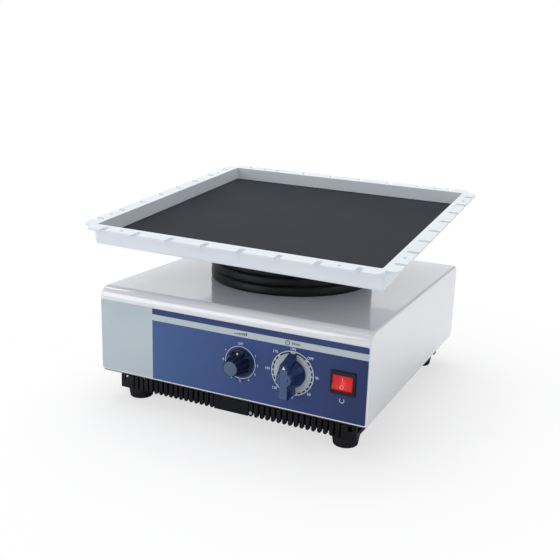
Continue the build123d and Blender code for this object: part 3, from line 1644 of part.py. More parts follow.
upper_ring_screws = small_screws(
    upper_ring_plane.offset(ring_shank),
    [(x, -y) for x, y in ring_points],
    ring_shank + tray_floor,
)
upper_ring_screws.part.label = "upper_ring_screws"
export_step(upper_ring_screws.part, "parts/upper_ring_screws.step")
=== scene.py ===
"""Finish of a bench-top platform shaker.

Enamelled housing, printed front, coated tray, rubber bellows.
"""

import json
from math import cos, pi, radians, sin

import bpy
from mathutils import Matrix, Vector


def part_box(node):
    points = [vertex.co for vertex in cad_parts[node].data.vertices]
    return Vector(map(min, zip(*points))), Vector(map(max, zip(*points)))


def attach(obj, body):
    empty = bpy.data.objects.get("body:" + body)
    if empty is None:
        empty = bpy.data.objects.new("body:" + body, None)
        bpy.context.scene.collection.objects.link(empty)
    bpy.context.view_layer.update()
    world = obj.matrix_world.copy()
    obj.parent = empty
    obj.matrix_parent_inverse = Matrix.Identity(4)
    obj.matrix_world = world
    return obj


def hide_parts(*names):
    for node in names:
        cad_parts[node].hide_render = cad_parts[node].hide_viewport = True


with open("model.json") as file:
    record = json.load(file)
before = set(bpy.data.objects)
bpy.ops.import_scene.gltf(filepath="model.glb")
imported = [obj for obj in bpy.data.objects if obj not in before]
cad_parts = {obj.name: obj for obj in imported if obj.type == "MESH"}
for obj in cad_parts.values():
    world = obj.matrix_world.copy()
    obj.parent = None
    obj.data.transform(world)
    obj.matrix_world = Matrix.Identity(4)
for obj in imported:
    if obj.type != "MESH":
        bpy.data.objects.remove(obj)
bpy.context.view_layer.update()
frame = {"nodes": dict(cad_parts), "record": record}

# ---------------------------------------------------------------------------------------
# Measures, in metres unless a name says otherwise
# ---------------------------------------------------------------------------------------

MM = 0.001

# The platform leans about a level line through the wobble centre.
WOBBLE_CENTRE = Vector((0, 0, 203.1 * MM))
TILT = radians(5.6)
HEADING = radians(14.4)

# Front panel: the printed film's face, and the places of the controls on it.
PANEL_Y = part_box("front_overlay")[0][1]
PANEL_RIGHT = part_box("front_overlay")[1][0]
PANEL_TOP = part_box("front_overlay")[1][2]
BASE_TOP = 35 * MM
DIAL_Z = 73.5 * MM
SPEED_X = 18.2 * MM
TIMER_X = 74.1 * MM
SWITCH_X = 125.5 * MM
SWITCH_Z = 74 * MM
INK = 0.12 * MM

# The rocker's two faces meet at its crown. The lower face leans out by 28 degrees.
ROCKER_CROWN_Y = PANEL_Y - 2.02 * MM
ROCKER_FOLD = radians(28)

BELLOWS_RADIUS = 91 * MM
BELLOWS_GROOVE = 2.4 * MM
BELLOWS_FOLDS = 5
BELLOWS_WALL = 2.4 * MM


# ---------------------------------------------------------------------------------------
# Modelling helpers
# ---------------------------------------------------------------------------------------

def deselect():
    """Leave edit mode, if in it, and select nothing."""
    if bpy.context.object and bpy.context.object.mode == "EDIT":
        bpy.ops.object.mode_set(mode="OBJECT")
    bpy.ops.object.select_all(action="DESELECT")


def begin(add, name, **settings):
    """Add a primitive with nothing else selected, and name it."""
    deselect()
    add(**settings)
    piece = bpy.context.object
    piece.name = name
    piece.data.name = name
    return piece


def only(piece):
    """Make this the one selected, active object."""
    deselect()
    piece.select_set(True)
    bpy.context.view_layer.objects.active = piece


def edit_all(piece, kind="FACE"):
    """Open the piece in edit mode with all of it selected."""
    only(piece)
    bpy.ops.object.mode_set(mode="EDIT")
    bpy.ops.mesh.select_mode(type=kind)
    bpy.ops.mesh.select_all(action="SELECT")


def edit_where(piece, kind, test):
    """Open the piece in edit mode with the faces, edges or corners that pass the test selected."""
    edit_all(piece, kind)
    bpy.ops.mesh.select_all(action="DESELECT")
    bpy.ops.object.mode_set(mode="OBJECT")
    mesh = piece.data
    if kind == "FACE":
        for face in mesh.polygons:
            face.select = test(face.center, face.normal)
    elif kind == "EDGE":
        for edge in mesh.edges:
            edge.select = test(*[mesh.vertices[i].co for i in edge.vertices])
    else:
        for corner in mesh.vertices:
            corner.select = test(corner.co)
    bpy.ops.object.mode_set(mode="EDIT")


def place(piece, matrix):
    """Move the piece by the matrix and bake its place into its mesh."""
    only(piece)
    piece.matrix_world = matrix @ piece.matrix_world
    bpy.ops.object.transform_apply(location=True, rotation=True, scale=True)
    return piece


def modify(piece, kind, **settings):
    """Add a modifier and apply it."""
    only(piece)
    modifier = piece.modifiers.new(kind.title(), kind)
    for key, value in settings.items():
        setattr(modifier, key, value)
    bpy.ops.object.modifier_apply(modifier=modifier.name)
    return piece


def smooth(piece, degrees=32):
    """Smooth shading over gentle bends, sharp edges elsewhere."""
    only(piece)
    bpy.ops.object.shade_smooth_by_angle(angle=radians(degrees))
    return piece


def join(name, pieces):
    """Join the pieces into one object."""
    deselect()
    for piece in pieces:
        piece.select_set(True)
    bpy.context.view_layer.objects.active = pieces[0]
    bpy.ops.object.join()
    pieces[0].name = name
    return pieces[0]


def copy_of(piece, name, matrix):
    """A copy with its own mesh, moved by the matrix."""
    twin = piece.copy()
    twin.data = piece.data.copy()
    twin.name = name
    bpy.context.collection.objects.link(twin)
    return place(twin, matrix)


def finish(piece, body, material):
    """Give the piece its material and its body."""
    piece.data.materials.clear()
    piece.data.materials.append(material)
    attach(piece, body)
    return piece


def turned(name, rings, sides=64):
    """A solid turned about the upright axis. Rings are (radius, height) from foot to top."""
    radius, height = rings[0]
    piece = begin(
        bpy.ops.mesh.primitive_circle_add, name,
        vertices=sides, radius=radius, fill_type="NGON", location=(0, 0, height),
    )
    place(piece, Matrix.Identity(4))
    edit_all(piece)
    for new_radius, new_height in rings[1:]:
        bpy.ops.mesh.extrude_region_move(
            TRANSFORM_OT_translate={"value": (0, 0, new_height - height)}
        )
        ratio = new_radius / radius
        bpy.ops.transform.resize(value=(ratio, ratio, 1), center_override=(0, 0, new_height))
        radius, height = new_radius, new_height
    bpy.ops.mesh.select_all(action="SELECT")
    bpy.ops.mesh.normals_make_consistent(inside=False)
    deselect()
    return piece


def on_front(piece, x=0.0, z=0.0, y=PANEL_Y):
    """Stand a piece that was made flat on the front: its x runs right, its y up, its z outwards."""
    return place(
        piece, Matrix.Translation((x, y, z)) @ Matrix.Rotation(radians(90), 4, "X")
    )


def refined(node, edge, segments=2, degrees=32, angle=35):
    """A copy of a node's mesh with its doubles merged, its flats dissolved and its edges eased."""
    source = frame["nodes"][node]
    piece = source.copy()
    piece.data = source.data.copy()
    piece.name = f"{node}_finished"
    piece.parent = None
    piece.matrix_world = source.matrix_world.copy()
    bpy.context.collection.objects.link(piece)
    only(piece)
    bpy.ops.object.transform_apply(location=True, rotation=True, scale=True)
    if piece.data.has_custom_normals:
        bpy.ops.mesh.customdata_custom_splitnormals_clear()
    edit_all(piece)
    bpy.ops.mesh.remove_doubles(threshold=0.002 * MM)
    bpy.ops.mesh.dissolve_limited(angle_limit=radians(0.5))
    deselect()
    if edge:
        modify(
            piece, "BEVEL", width=edge, segments=segments, limit_method="ANGLE",
            angle_limit=radians(angle), use_clamp_overlap=True, harden_normals=False,
        )
    smooth(piece, degrees)
    modify(piece, "WEIGHTED_NORMAL", keep_sharp=True)
    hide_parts(node)
    return piece


# ---------------------------------------------------------------------------------------
# Materials
# ---------------------------------------------------------------------------------------

def colour(code):
    """Linear colour of an sRGB hex code."""
    channels = [int(code[i:i + 2], 16) / 255 for i in (1, 3, 5)]
    return [c / 12.92 if c <= 0.04045 else ((c + 0.055) / 1.055) ** 2.4 for c in channels] + [1]


def add_node(tree, kind, settings=None, links=None):
    """Add a node, set its properties and input values, and wire its inputs."""
    node = tree.nodes.new(kind)
    for key, value in (settings or {}).items():
        if isinstance(key, str) and hasattr(node, key):
            setattr(node, key, value)
        else:
            node.inputs[key].default_value = value
    for key, source in (links or {}).items():
        tree.links.new(source, node.inputs[key])
    return node


def base_finish(name, code, roughness, **values):
    """A new material with one shader. Returns the material, its tree and its shader."""
    material = bpy.data.materials.new(name)
    material.use_nodes = True
    tree = material.node_tree
    shader = tree.nodes["Principled BSDF"]
    shader.inputs["Base Color"].default_value = colour(code)
    shader.inputs["Roughness"].default_value = roughness
    for key, value in values.items():
        shader.inputs[key.replace("_", " ")].default_value = value
    material.diffuse_color = colour(code)
    return material, tree, shader


def surface_relief(tree, shader, size, depth, detail=2.0):
    """Fine unevenness: bumps about size across and depth high, both in millimetres."""
    place_on = add_node(tree, "ShaderNodeTexCoord")
    grain = add_node(
        tree, "ShaderNodeTexNoise", {"Scale": 1000 / size, "Detail": detail},
        {"Vector": place_on.outputs["Object"]},
    )
    relief = add_node(
        tree, "ShaderNodeBump", {"Strength": 1.0, "Distance": depth * MM},
        {"Height": grain.outputs["Fac"]},
    )
    tree.links.new(relief.outputs["Normal"], shader.inputs["Normal"])
    return grain


def colour_drift(tree, shader, dark, light, size):
    """Slow change between two near colours, over patches about size millimetres across."""
    place_on = add_node(tree, "ShaderNodeTexCoord")
    cloud = add_node(
        tree, "ShaderNodeTexNoise", {"Scale": 1000 / size, "Detail": 3.0},
        {"Vector": place_on.outputs["Object"]},
    )
    ramp = add_node(tree, "ShaderNodeValToRGB", {}, {"Fac": cloud.outputs["Fac"]})
    ramp.color_ramp.elements[0].position = 0.3
    ramp.color_ramp.elements[0].color = colour(dark)
    ramp.color_ramp.elements[1].position = 0.7
    ramp.color_ramp.elements[1].color = colour(light)
    tree.links.new(ramp.outputs["Color"], shader.inputs["Base Color"])


def gloss_drift(tree, shader, low, high, size):
    """Roughness that changes between two values over patches about size millimetres across."""
    place_on = add_node(tree, "ShaderNodeTexCoord")
    cloud = add_node(
        tree, "ShaderNodeTexNoise", {"Scale": 1000 / size, "Detail": 4.0},
        {"Vector": place_on.outputs["Object"]},
    )
    spread = add_node(
        tree, "ShaderNodeMapRange", {"From Min": 0.3, "From Max": 0.7, "To Min": low, "To Max": high},
        {"Value": cloud.outputs["Fac"]},
    )
    tree.links.new(spread.outputs["Result"], shader.inputs["Roughness"])


# Stove enamel on steel sheet, sprayed and baked: a hard, wet-looking pale grey that mirrors what stands
# on it, with the faintest orange peel.
def stove_enamel():
    material, tree, shader = base_finish(
        "stove_enamel", "#e4e4e9", 0.16, IOR=1.5, Coat_Weight=1.0, Coat_Roughness=0.04, Coat_IOR=1.7
    )
    surface_relief(tree, shader, 3.5, 0.004)
    colour_drift(tree, shader, "#e2e2e8", "#e6e6ea", 90)
    return material


# Textured enamel on the steel base plate: dull dark grey with a fine pebble.
def base_enamel():
    material, tree, shader = base_finish("textured_base_enamel", "#2a2b2e", 0.55, IOR=1.5)
    surface_relief(tree, shader, 0.9, 0.05)
    colour_drift(tree, shader, "#27282b", "#2e2f33", 40)
    return material


# Polypropylene, injection moulded: near-black with a low satin sheen and a spark-eroded grain.
def moulded_polypropylene():
    material, tree, shader = base_finish(
        "moulded_polypropylene", "#101118", 0.45, IOR=1.49, Specular_IOR_Level=0.2
    )
    surface_relief(tree, shader, 0.6, 0.02)
    colour_drift(tree, shader, "#0e0f16", "#13141b", 25)
    return material


# Natural rubber, compression moulded: matte brown-black that catches dust.
def foot_rubber():
    material, tree, shader = base_finish(
        "moulded_foot_rubber", "#110f14", 0.62, IOR=1.52, Specular_IOR_Level=0.25
    )
    surface_relief(tree, shader, 0.5, 0.03)
    colour_drift(tree, shader, "#131116", "#1b191d", 8)
    return material


# Zinc-plated steel, cold headed: bright bluish metal with soft turning marks.
def zinc_plate():
    material, tree, shader = base_finish("zinc_plated_steel", "#c4c9cf", 0.26, Metallic=1.0)
    surface_relief(tree, shader, 0.4, 0.01)
    gloss_drift(tree, shader, 0.2, 0.34, 1.5)
    return material


# Polyester film with a velvet back and a satin face: pale blue-grey, barely textured.
def overlay_film():
    material, tree, shader = base_finish("polyester_overlay_film", "#b9c5cc", 0.3, IOR=1.57)
    surface_relief(tree, shader, 0.25, 0.004)
    colour_drift(tree, shader, "#b3c0c8", "#bcc8ce", 60)
    return material


# Screen ink, printed and cured on the film: flat colour with the film's own satin face.
def screen_ink(name, code, other=None, roughness=0.3):
    material, tree, shader = base_finish(name, code, roughness, IOR=1.5, Specular_IOR_Level=0.3)
    surface_relief(tree, shader, 0.25, 0.003)
    colour_drift(tree, shader, code, other or code, 30)
    return material


# The wide blue field is blue ink that runs from mid blue at the left to navy at the right: partly the
# print's own blend, partly painted shade where less light falls on the right.
def blue_ink_with_painted_shade():
    material, tree, shader = base_finish(
        "blue_ink_with_painted_shade", "#34477a", 0.28, IOR=1.55, Specular_IOR_Level=0.25
    )
    surface_relief(tree, shader, 0.25, 0.003)
    place_on = add_node(tree, "ShaderNodeTexCoord")
    across = add_node(tree, "ShaderNodeSeparateXYZ", {}, {"Vector": place_on.outputs["Object"]})
    share = add_node(
        tree, "ShaderNodeMapRange", {"From Min": -86 * MM, "From Max": 149 * MM},
        {"Value": across.outputs["X"]},
    )
    # Ramp across the film: the darkening towards the right is partly print and partly painted shade.
    ramp = add_node(tree, "ShaderNodeValToRGB", {}, {"Fac": share.outputs["Result"]})
    ramp.color_ramp.elements[0].color = colour("#415d92")
    ramp.color_ramp.elements[1].color = colour("#20305f")
    middle = ramp.color_ramp.elements.new(0.5)
    middle.color = colour("#354b82")
    tree.links.new(ramp.outputs["Color"], shader.inputs["Base Color"])
    return material


# ABS, injection moulded and polished: deep navy, glossy, with tiny flow unevenness.
def polished_abs(name, code, other, roughness=0.22):
    material, tree, shader = base_finish(name, code, roughness, IOR=1.53, Specular_IOR_Level=0.3)
    surface_relief(tree, shader, 1.2, 0.004)
    colour_drift(tree, shader, code, other, 12)
    return material


# Polycarbonate, moulded in clear red over a neon lamp: glows orange in the middle of the rocker.
def lit_polycarbonate():
    material, tree, shader = base_finish(
        "lit_red_polycarbonate", "#c81f22", 0.3, IOR=1.58, Specular_IOR_Level=0.25
    )
    surface_relief(tree, shader, 1.5, 0.004)
    place_on = add_node(tree, "ShaderNodeTexCoord")
    from_lamp = add_node(
        tree, "ShaderNodeVectorMath",
        {"operation": "DISTANCE", 1: (SWITCH_X + 1 * MM, PANEL_Y - 1 * MM, SWITCH_Z)},
        {0: place_on.outputs["Object"]},
    )
    ramp = add_node(
        tree, "ShaderNodeValToRGB", {},
        {"Fac": add_node(
            tree, "ShaderNodeMapRange", {"From Min": 0.0, "From Max": 9 * MM},
            {"Value": from_lamp.outputs["Value"]},
        ).outputs["Result"]},
    )
    ramp.color_ramp.elements[0].color = colour("#f5502c")
    ramp.color_ramp.elements[1].color = colour("#b4141c")
    middle = ramp.color_ramp.elements.new(0.35)
    middle.color = colour("#cc2022")
    tree.links.new(ramp.outputs["Color"], shader.inputs["Base Color"])
    tree.links.new(ramp.outputs["Color"], shader.inputs["Emission Color"])
    shader.inputs["Emission Strength"].default_value = 0.3
    return material


# Powder coat on pressed aluminium: soft white, satin, with a fine peel.
def tray_coat():
    material, tree, shader = base_finish("tray_powder_coat", "#e4e8ef", 0.34, IOR=1.5)
    surface_relief(tree, shader, 1.1, 0.012)
    colour_drift(tree, shader, "#e0e5ed", "#e6eaf0", 70)
    return material


# Silicone rubber sheet, calendered: slate grey with a fine pebble that gives a broad soft shine.
def mat_rubber():
    material, tree, shader = base_finish(
        "calendered_silicone_mat", "#23272f", 0.55, IOR=1.43, Specular_IOR_Level=0.15
    )
    surface_relief(tree, shader, 1.4, 0.05, 4.0)
    colour_drift(tree, shader, "#21252d", "#262a33", 60)
    return material


# Nitrile rubber, moulded over a core: purple-black skin with a dull shine on each fold.
def bellows_rubber():
    material, tree, shader = base_finish(
        "moulded_nitrile_bellows", "#101116", 0.42, IOR=1.52, Specular_IOR_Level=0.25
    )
    surface_relief(tree, shader, 1.0, 0.02)
    colour_drift(tree, shader, "#0e0f14", "#14151a", 30)
    return material


# Brass bar, drawn: warm yellow metal, lightly scratched by use.
def drawn_brass():
    material, tree, shader = base_finish("drawn_brass", "#c9a85a", 0.28, Metallic=1.0)
    surface_relief(tree, shader, 0.3, 0.008)
    gloss_drift(tree, shader, 0.2, 0.4, 1.0)
    return material


# Metals, plastics and boards inside the housing, each with its own grain.
def plain_metal(name, code, roughness, grain, depth):
    material, tree, shader = base_finish(name, code, roughness, Metallic=1.0)
    surface_relief(tree, shader, grain, depth)
    gloss_drift(tree, shader, roughness * 0.8, roughness * 1.25, 6)
    return material


def plain_plastic(name, code, other, roughness, grain, depth):
    material, tree, shader = base_finish(name, code, roughness, IOR=1.5)
    surface_relief(tree, shader, grain, depth)
    colour_drift(tree, shader, code, other, 10)
    return material


# Soda glass tube with the fuse wire's shine behind it.
def fuse_glass():
    material, tree, shader = base_finish(
        "drawn_fuse_glass", "#d8dde0", 0.05, IOR=1.52, Transmission_Weight=0.8
    )
    surface_relief(tree, shader, 2.0, 0.003)
    return material


ENAMEL = stove_enamel()
TRAY_COAT = tray_coat()
RUNNER_PLASTIC = moulded_polypropylene()
RUBBER_FEET = foot_rubber()
ZINC = zinc_plate()
FILM = overlay_film()
BELLOWS_RUBBER = bellows_rubber()
MAT_RUBBER = mat_rubber()
BASE_ENAMEL = base_enamel()
KNOB_BLACK = polished_abs("polished_navy_abs", "#0c1734", "#0f1c3c", 0.2)
TIMER_BLUE = polished_abs("polished_blue_abs", "#12244f", "#152a5a", 0.22)
CAP_SLATE = polished_abs("satin_slate_cap", "#4d657d", "#4a6178", 0.35)
CAP_BLUE = polished_abs("satin_blue_inlay", "#465a80", "#43567b", 0.35)
SWITCH_BLACK = polished_abs("gloss_black_nylon", "#06070c", "#0a0b10", 0.4)
ROCKER_RED = lit_polycarbonate()
MARK_PINK = screen_ink("pad_printed_pink", "#ffa9a4", "#ffa09c", 0.35)
BLUE_FIELD = blue_ink_with_painted_shade()
STRIPE_BLUE = screen_ink("stripe_blue_ink", "#2c3f70", "#2a3c6c")
WHITE_INK = screen_ink("white_ink", "#c9d4ea", "#c2cde6")
DIAL_INK = screen_ink("dial_silver_ink", "#b9c2c9", "#b2bcc5")
BLACK_INK = screen_ink("black_ink", "#12161f", "#161b26")
DARK_INK = screen_ink("dark_grey_ink", "#2c323c", "#333a44")
BRASS = drawn_brass()
POINTER_WHITE = screen_ink("pointer_white_paint", "#f2f3f4", "#eceef0", 0.3)

INSIDE = {
    "zinc_steel": ZINC,
    "cover_paint": ENAMEL,
    "base_paint": BASE_ENAMEL,
    "runner_plastic": RUNNER_PLASTIC,
    "foot_rubber": RUBBER_FEET,
    "overlay_film": FILM,
    "tray_coating": TRAY_COAT,
    "mat_rubber": MAT_RUBBER,
    "bellows_rubber": BELLOWS_RUBBER,
    "knob_plastic": KNOB_BLACK,
    "cap_plastic": CAP_SLATE,
    "switch_plastic": SWITCH_BLACK,
    "rocker_plastic": ROCKER_RED,
    "brass_pins": BRASS,
    "component_metal": plain_metal("nickel_plated_case", "#a8a9a8", 0.3, 0.8, 0.01),
    "component_plastic": plain_plastic("moulded_phenolic", "#2f3238", "#363a41", 0.4, 0.6, 0.02),
    "core_steel": plain_metal("laminated_core_steel", "#6f7276", 0.45, 0.5, 0.04),
    "coil_tape": plain_plastic("polyester_coil_tape", "#c8a640", "#bf9c38", 0.35, 2.0, 0.03),
    "board_laminate": plain_plastic("solder_masked_laminate", "#1f5b3a", "#1a5033", 0.3, 0.7, 0.02),
    "sink_aluminium": plain_metal("extruded_aluminium", "#c3c5c8", 0.35, 0.5, 0.015),
    "cast_housing": plain_metal("sand_cast_iron", "#4d5054", 0.6, 1.2, 0.1),
    "bearing_steel": plain_metal("ground_bearing_steel", "#c7c9cc", 0.15, 0.3, 0.003),
    "motor_metal": plain_metal("turned_motor_case", "#9a9da1", 0.32, 0.6, 0.01),
    "belt_rubber": plain_plastic("neoprene_belt", "#1c1c1e", "#232326", 0.6, 0.8, 0.05),
    "wire_plastic": plain_plastic("pvc_wire_sleeve", "#3a3c44", "#42454e", 0.4, 0.9, 0.01),
    "fuse_glass": fuse_glass(),
}

SLOT_OF = {entry["node"]: entry["material_slot"] for entry in frame["record"]["subparts"]}
for node_name, node in frame["nodes"].items():
    node.data.materials.clear()
    node.data.materials.append(INSIDE[SLOT_OF[node_name]])


# ---------------------------------------------------------------------------------------
# Sheet metal, runners and feet: the frame's own forms with eased edges
# ---------------------------------------------------------------------------------------

def dress_frame():
    finish(refined("housing_cover", 0.25 * MM), "base", ENAMEL)
    finish(refined("base_plate", 0.2 * MM), "base", BASE_ENAMEL)
    finish(refined("tray", 0.8 * MM, 4), "platform", TRAY_COAT)
    finish(refined("mat", 0.6 * MM, 3), "platform", MAT_RUBBER)
    for place_name in ("front", "rear"):
        runner = refined(f"{place_name}_runner", 0.35 * MM)
        finish(runner, "base", RUNNER_PLASTIC)
    for place_name in ("front_left", "front_right", "rear_left", "rear_right"):
        finish(refined(f"foot_{place_name}", 0.3 * MM), "base", RUBBER_FEET)
    finish(refined("switch_housing", 0.2 * MM), "base", SWITCH_BLACK)
    finish(refined("power_inlet", 0.3 * MM), "base", SWITCH_BLACK)
    finish(refined("fuse_drawer", 0.25 * MM), "fuse_drawer", SWITCH_BLACK)
    finish(refined("power_rocker", 0.35 * MM, 3), "rocker", ROCKER_RED)
    finish(refined("inlet_pins", 0.4 * MM), "base", BRASS)


def dress_screws():
    """Round the heads of the screws that show, and cut a cross in each."""
    runner_low, runner_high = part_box("front_runner")
    rear_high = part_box("rear_runner")[1]
    inlet_low, inlet_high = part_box("inlet_screws")
    foot_low, foot_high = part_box("foot_screws")
    cover_low, cover_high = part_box("cover_screws")
    ledge_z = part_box("runner_screws")[1][2]
    ledge_front = runner_low[1] + 4 * MM
    ledge_rear = rear_high[1] - 4 * MM
    up, down = Matrix.Identity(4), Matrix.Rotation(pi, 4, "X")
    rearward = Matrix.Rotation(radians(-90), 4, "X")
    ledge_places = [
        (up, (x * MM * side, y, ledge_z))
        for x in (-108, -7, 97) for side, y in ((1, ledge_front), (-1, ledge_rear))
    ]
    inlet_z = (inlet_low[2] + inlet_high[2]) / 2
    inlet_places = [
        (rearward, (x, inlet_high[1], inlet_z))
        for x in (inlet_low[0] + 3.2 * MM, inlet_high[0] - 3.2 * MM)
    ]
    foot_places = [
        (down, (x, y, foot_low[2]))
        for x in (foot_low[0] + 4.4 * MM, foot_high[0] - 4.4 * MM)
        for y in (foot_low[1] + 4.4 * MM, foot_high[1] - 4.4 * MM)
    ]
    cover_places = [
        (down, (x, y, cover_low[2]))
        for x in (cover_low[0] + 3.2 * MM, 0, cover_high[0] - 3.2 * MM)
        for y in (cover_low[1] + 3.2 * MM, cover_high[1] - 3.2 * MM)
    ]
    for node, edge, places in (
        ("runner_screws", 0.9, ledge_places), ("inlet_screws", 0.9, inlet_places),
        ("foot_screws", 1.3, foot_places), ("cover_screws", 0.9, cover_places),
    ):
        heads = refined(node, edge * MM, 4, 45)
        cutter = cross_cutter(edge)
        cutters = [
            copy_of(cutter, "recess", Matrix.Translation(spot) @ turn) for turn, spot in places
        ]
        bpy.data.objects.remove(cutter)
        recesses = join("recesses", cutters)
        modify(heads, "BOOLEAN", operation="DIFFERENCE", object=recesses, solver="EXACT")
        bpy.data.objects.remove(recesses)
        finish(heads, "base", ZINC)


def cross_cutter(scale):
    """The cross of a recess, pointing down into a head whose top is at height 0."""
    one = begin(bpy.ops.mesh.primitive_cube_add, "recess_bar", size=1)
    place(one, Matrix.Diagonal((0.8 * scale * MM, 3.6 * scale * MM, 2 * MM, 1)))
    other = copy_of(one, "recess_bar", Matrix.Rotation(radians(90), 4, "Z"))
    modify(one, "BOOLEAN", operation="UNION", object=other, solver="EXACT")
    bpy.data.objects.remove(other)
    return one


dress_frame()
dress_screws()


# ---------------------------------------------------------------------------------------
# Bellows
# ---------------------------------------------------------------------------------------

def make_bellows():
    """Five round folds, ring by ring, from level at the housing to leaning at the tray."""
    low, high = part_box("lower_clamp_ring")[0][2] + 0.2 * MM, -21.2 * MM
    foot = Vector((0, 0, low))
    unturned_lean = Matrix.Rotation(TILT, 4, "X")
    top = WOBBLE_CENTRE + unturned_lean @ Vector((0, 0, high))
    rings_per_fold = 10
    count = BELLOWS_FOLDS * rings_per_fold
    piece = begin(
        bpy.ops.mesh.primitive_circle_add, "bellows_skin",
        vertices=144, radius=BELLOWS_RADIUS - 1.2 * MM, fill_type="NOTHING", location=foot,
    )
    place(piece, Matrix.Identity(4))
    edit_all(piece, "EDGE")
    radius, centre = BELLOWS_RADIUS - 1.2 * MM, foot
    for i in range(1, count + 1):
        share = i / count
        within = (i % rings_per_fold) / rings_per_fold
        swell = abs(sin(pi * within)) ** 0.35
        new_radius = BELLOWS_RADIUS - BELLOWS_GROOVE * (1 - swell)
        if i == count:
            new_radius = BELLOWS_RADIUS - 1.2 * MM
        new_centre = foot + (top - foot) * share
        bpy.ops.mesh.extrude_region_move(
            TRANSFORM_OT_translate={"value": tuple(new_centre - centre)}
        )
        ratio = new_radius / radius
        bpy.ops.transform.resize(value=(ratio, ratio, ratio), center_override=tuple(new_centre))
        bpy.ops.transform.rotate(
            value=-TILT / count, orient_axis="X", center_override=tuple(new_centre)
        )
        radius, centre = new_radius, new_centre
    bpy.ops.mesh.select_all(action="SELECT")
    bpy.ops.mesh.normals_make_consistent(inside=False)
    deselect()
    place(piece, Matrix.Rotation(HEADING, 4, "Z"))
    modify(piece, "SOLIDIFY", thickness=BELLOWS_WALL, offset=-1)
    smooth(piece, 60)
    finish(piece, "bellows", BELLOWS_RUBBER)
    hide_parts("bellows")


make_bellows()


# ---------------------------------------------------------------------------------------
# Print on the front film
# ---------------------------------------------------------------------------------------

def thick_print(piece):
    """Raise a flat print by the ink's thickness."""
    edit_all(piece)
    bpy.ops.mesh.remove_doubles(threshold=0.001 * MM)
    bpy.ops.mesh.normals_make_consistent(inside=False)
    deselect()
    if piece.data.polygons[0].normal.z < 0:
        edit_all(piece)
        bpy.ops.mesh.flip_normals()
        deselect()
    return modify(piece, "SOLIDIFY", thickness=INK, offset=1)


def strip(name, left, right, bottom, top):
    """A flat printed rectangle."""
    piece = begin(bpy.ops.mesh.primitive_plane_add, name, size=1)
    return place(
        piece,
        Matrix.Translation(((left + right) / 2, (bottom + top) / 2, 0))
        @ Matrix.Diagonal((right - left, top - bottom, 1, 1)),
    )


def arc(name, inner, outer, start=0.0, sweep=360.0):
    """A flat band round the origin. Angles are clockwise from the top, in degrees."""
    piece = begin(bpy.ops.mesh.primitive_plane_add, name, size=1)
    edit_where(piece, "VERT", lambda co: co.y > 0)
    bpy.ops.mesh.delete(type="VERT")
    deselect()
    edge_place = (
        Matrix.Rotation(-radians(start), 4, "Z")
        @ Matrix.Rotation(radians(90), 4, "Z")
        @ Matrix.Translation(((inner + outer) / 2, 0, 0))
        @ Matrix.Diagonal((outer - inner, 1, 1, 1))
        @ Matrix.Translation((0, 0.5, 0))
    )
    place(piece, edge_place)
    edit_all(piece, "EDGE")
    bpy.ops.mesh.spin(
        steps=max(2, round(sweep / 3)), angle=radians(sweep), center=(0, 0, 0), axis=(0, 0, 1)
    )
    deselect()
    return piece


def label(name, words, size, x, y, turn=0.0, weight=0.0):
    """Flat lettering, centred on a point."""
    deselect()
    bpy.ops.object.text_add()
    piece = bpy.context.object
    piece.data.body = words
    piece.data.size = size
    piece.data.align_x = "CENTER"
    piece.data.align_y = "CENTER"
    piece.data.offset = weight
    bpy.ops.object.convert(target="MESH")
    piece = bpy.context.object
    piece.name = name
    return place(piece, Matrix.Translation((x, y, 0)) @ Matrix.Rotation(turn, 4, "Z"))


def around(radius, degrees):
    """A point on a dial, clockwise from the top."""
    return radius * sin(radians(degrees)), radius * cos(radians(degrees))


def printed(piece, material, x=0.0, z=0.0, layer=0):
    """Raise a flat print, stand it on the film and finish it."""
    thick_print(piece)
    on_front(piece, x, z, PANEL_Y - layer * INK)
    return finish(piece, "base", material)


def round_corner(piece, radius, side):
    """Round a strip's right corner, the upper one for side 1 and the lower one for side -1."""
    right = max(corner.co.x for corner in piece.data.vertices)
    limit = max(corner.co.y * side for corner in piece.data.vertices)
    edit_where(
        piece, "VERT",
        lambda co: co.x > right - 0.01 * MM and co.y * side > limit - 0.01 * MM,
    )
    bpy.ops.mesh.bevel(offset=radius, segments=5, affect="VERTICES")
    deselect()
    return piece


def print_fields():
    """Blue field and stripe on the pale film."""
    left, right = -84.3 * MM, PANEL_RIGHT
    field = strip("blue_field", left, right, BASE_TOP + 1.4 * MM, BASE_TOP + 64.5 * MM)
    printed(round_corner(field, 1.8 * MM, -1), BLUE_FIELD)
    stripe = strip("blue_stripe", left, right, BASE_TOP + 71 * MM, PANEL_TOP - 0.2 * MM)
    printed(round_corner(stripe, 1.8 * MM, 1), STRIPE_BLUE)


def print_speed_dial():
    """Thin ring with inward ticks, numbers outside it, and two index dots."""
    ring = arc("speed_ring", 16.1 * MM, 16.7 * MM)
    steps = {
        0: "OFF", 60: "1", 90: "2", 120: "3", 150: "4",
        180: "5", 210: "6", 240: "7", 270: "8", 300: "9",
    }
    marks = [ring]
    for angle in steps:
        tick = strip("tick", -0.25 * MM, 0.25 * MM, 14.6 * MM, 16.2 * MM)
        marks.append(place(tick, Matrix.Rotation(-radians(angle), 4, "Z")))
    printed(join("speed_scale", marks), WHITE_INK, SPEED_X, DIAL_Z, 1)
    numbers = [
        label("number", words, 3.4 * MM, *around(19.0 * MM, angle), weight=0.09 * MM)
        for angle, words in steps.items()
    ]
    printed(join("speed_numbers", numbers), WHITE_INK, SPEED_X, DIAL_Z, 1)
    dots = []
    for angle in (168.5, 191.5):
        dot = arc("dot", 0.02 * MM, 1.15 * MM)
        dots.append(place(dot, Matrix.Translation((*around(18.2 * MM, angle), 0))))
    printed(join("speed_index_dots", dots), BLACK_INK, SPEED_X, DIAL_Z, 1)


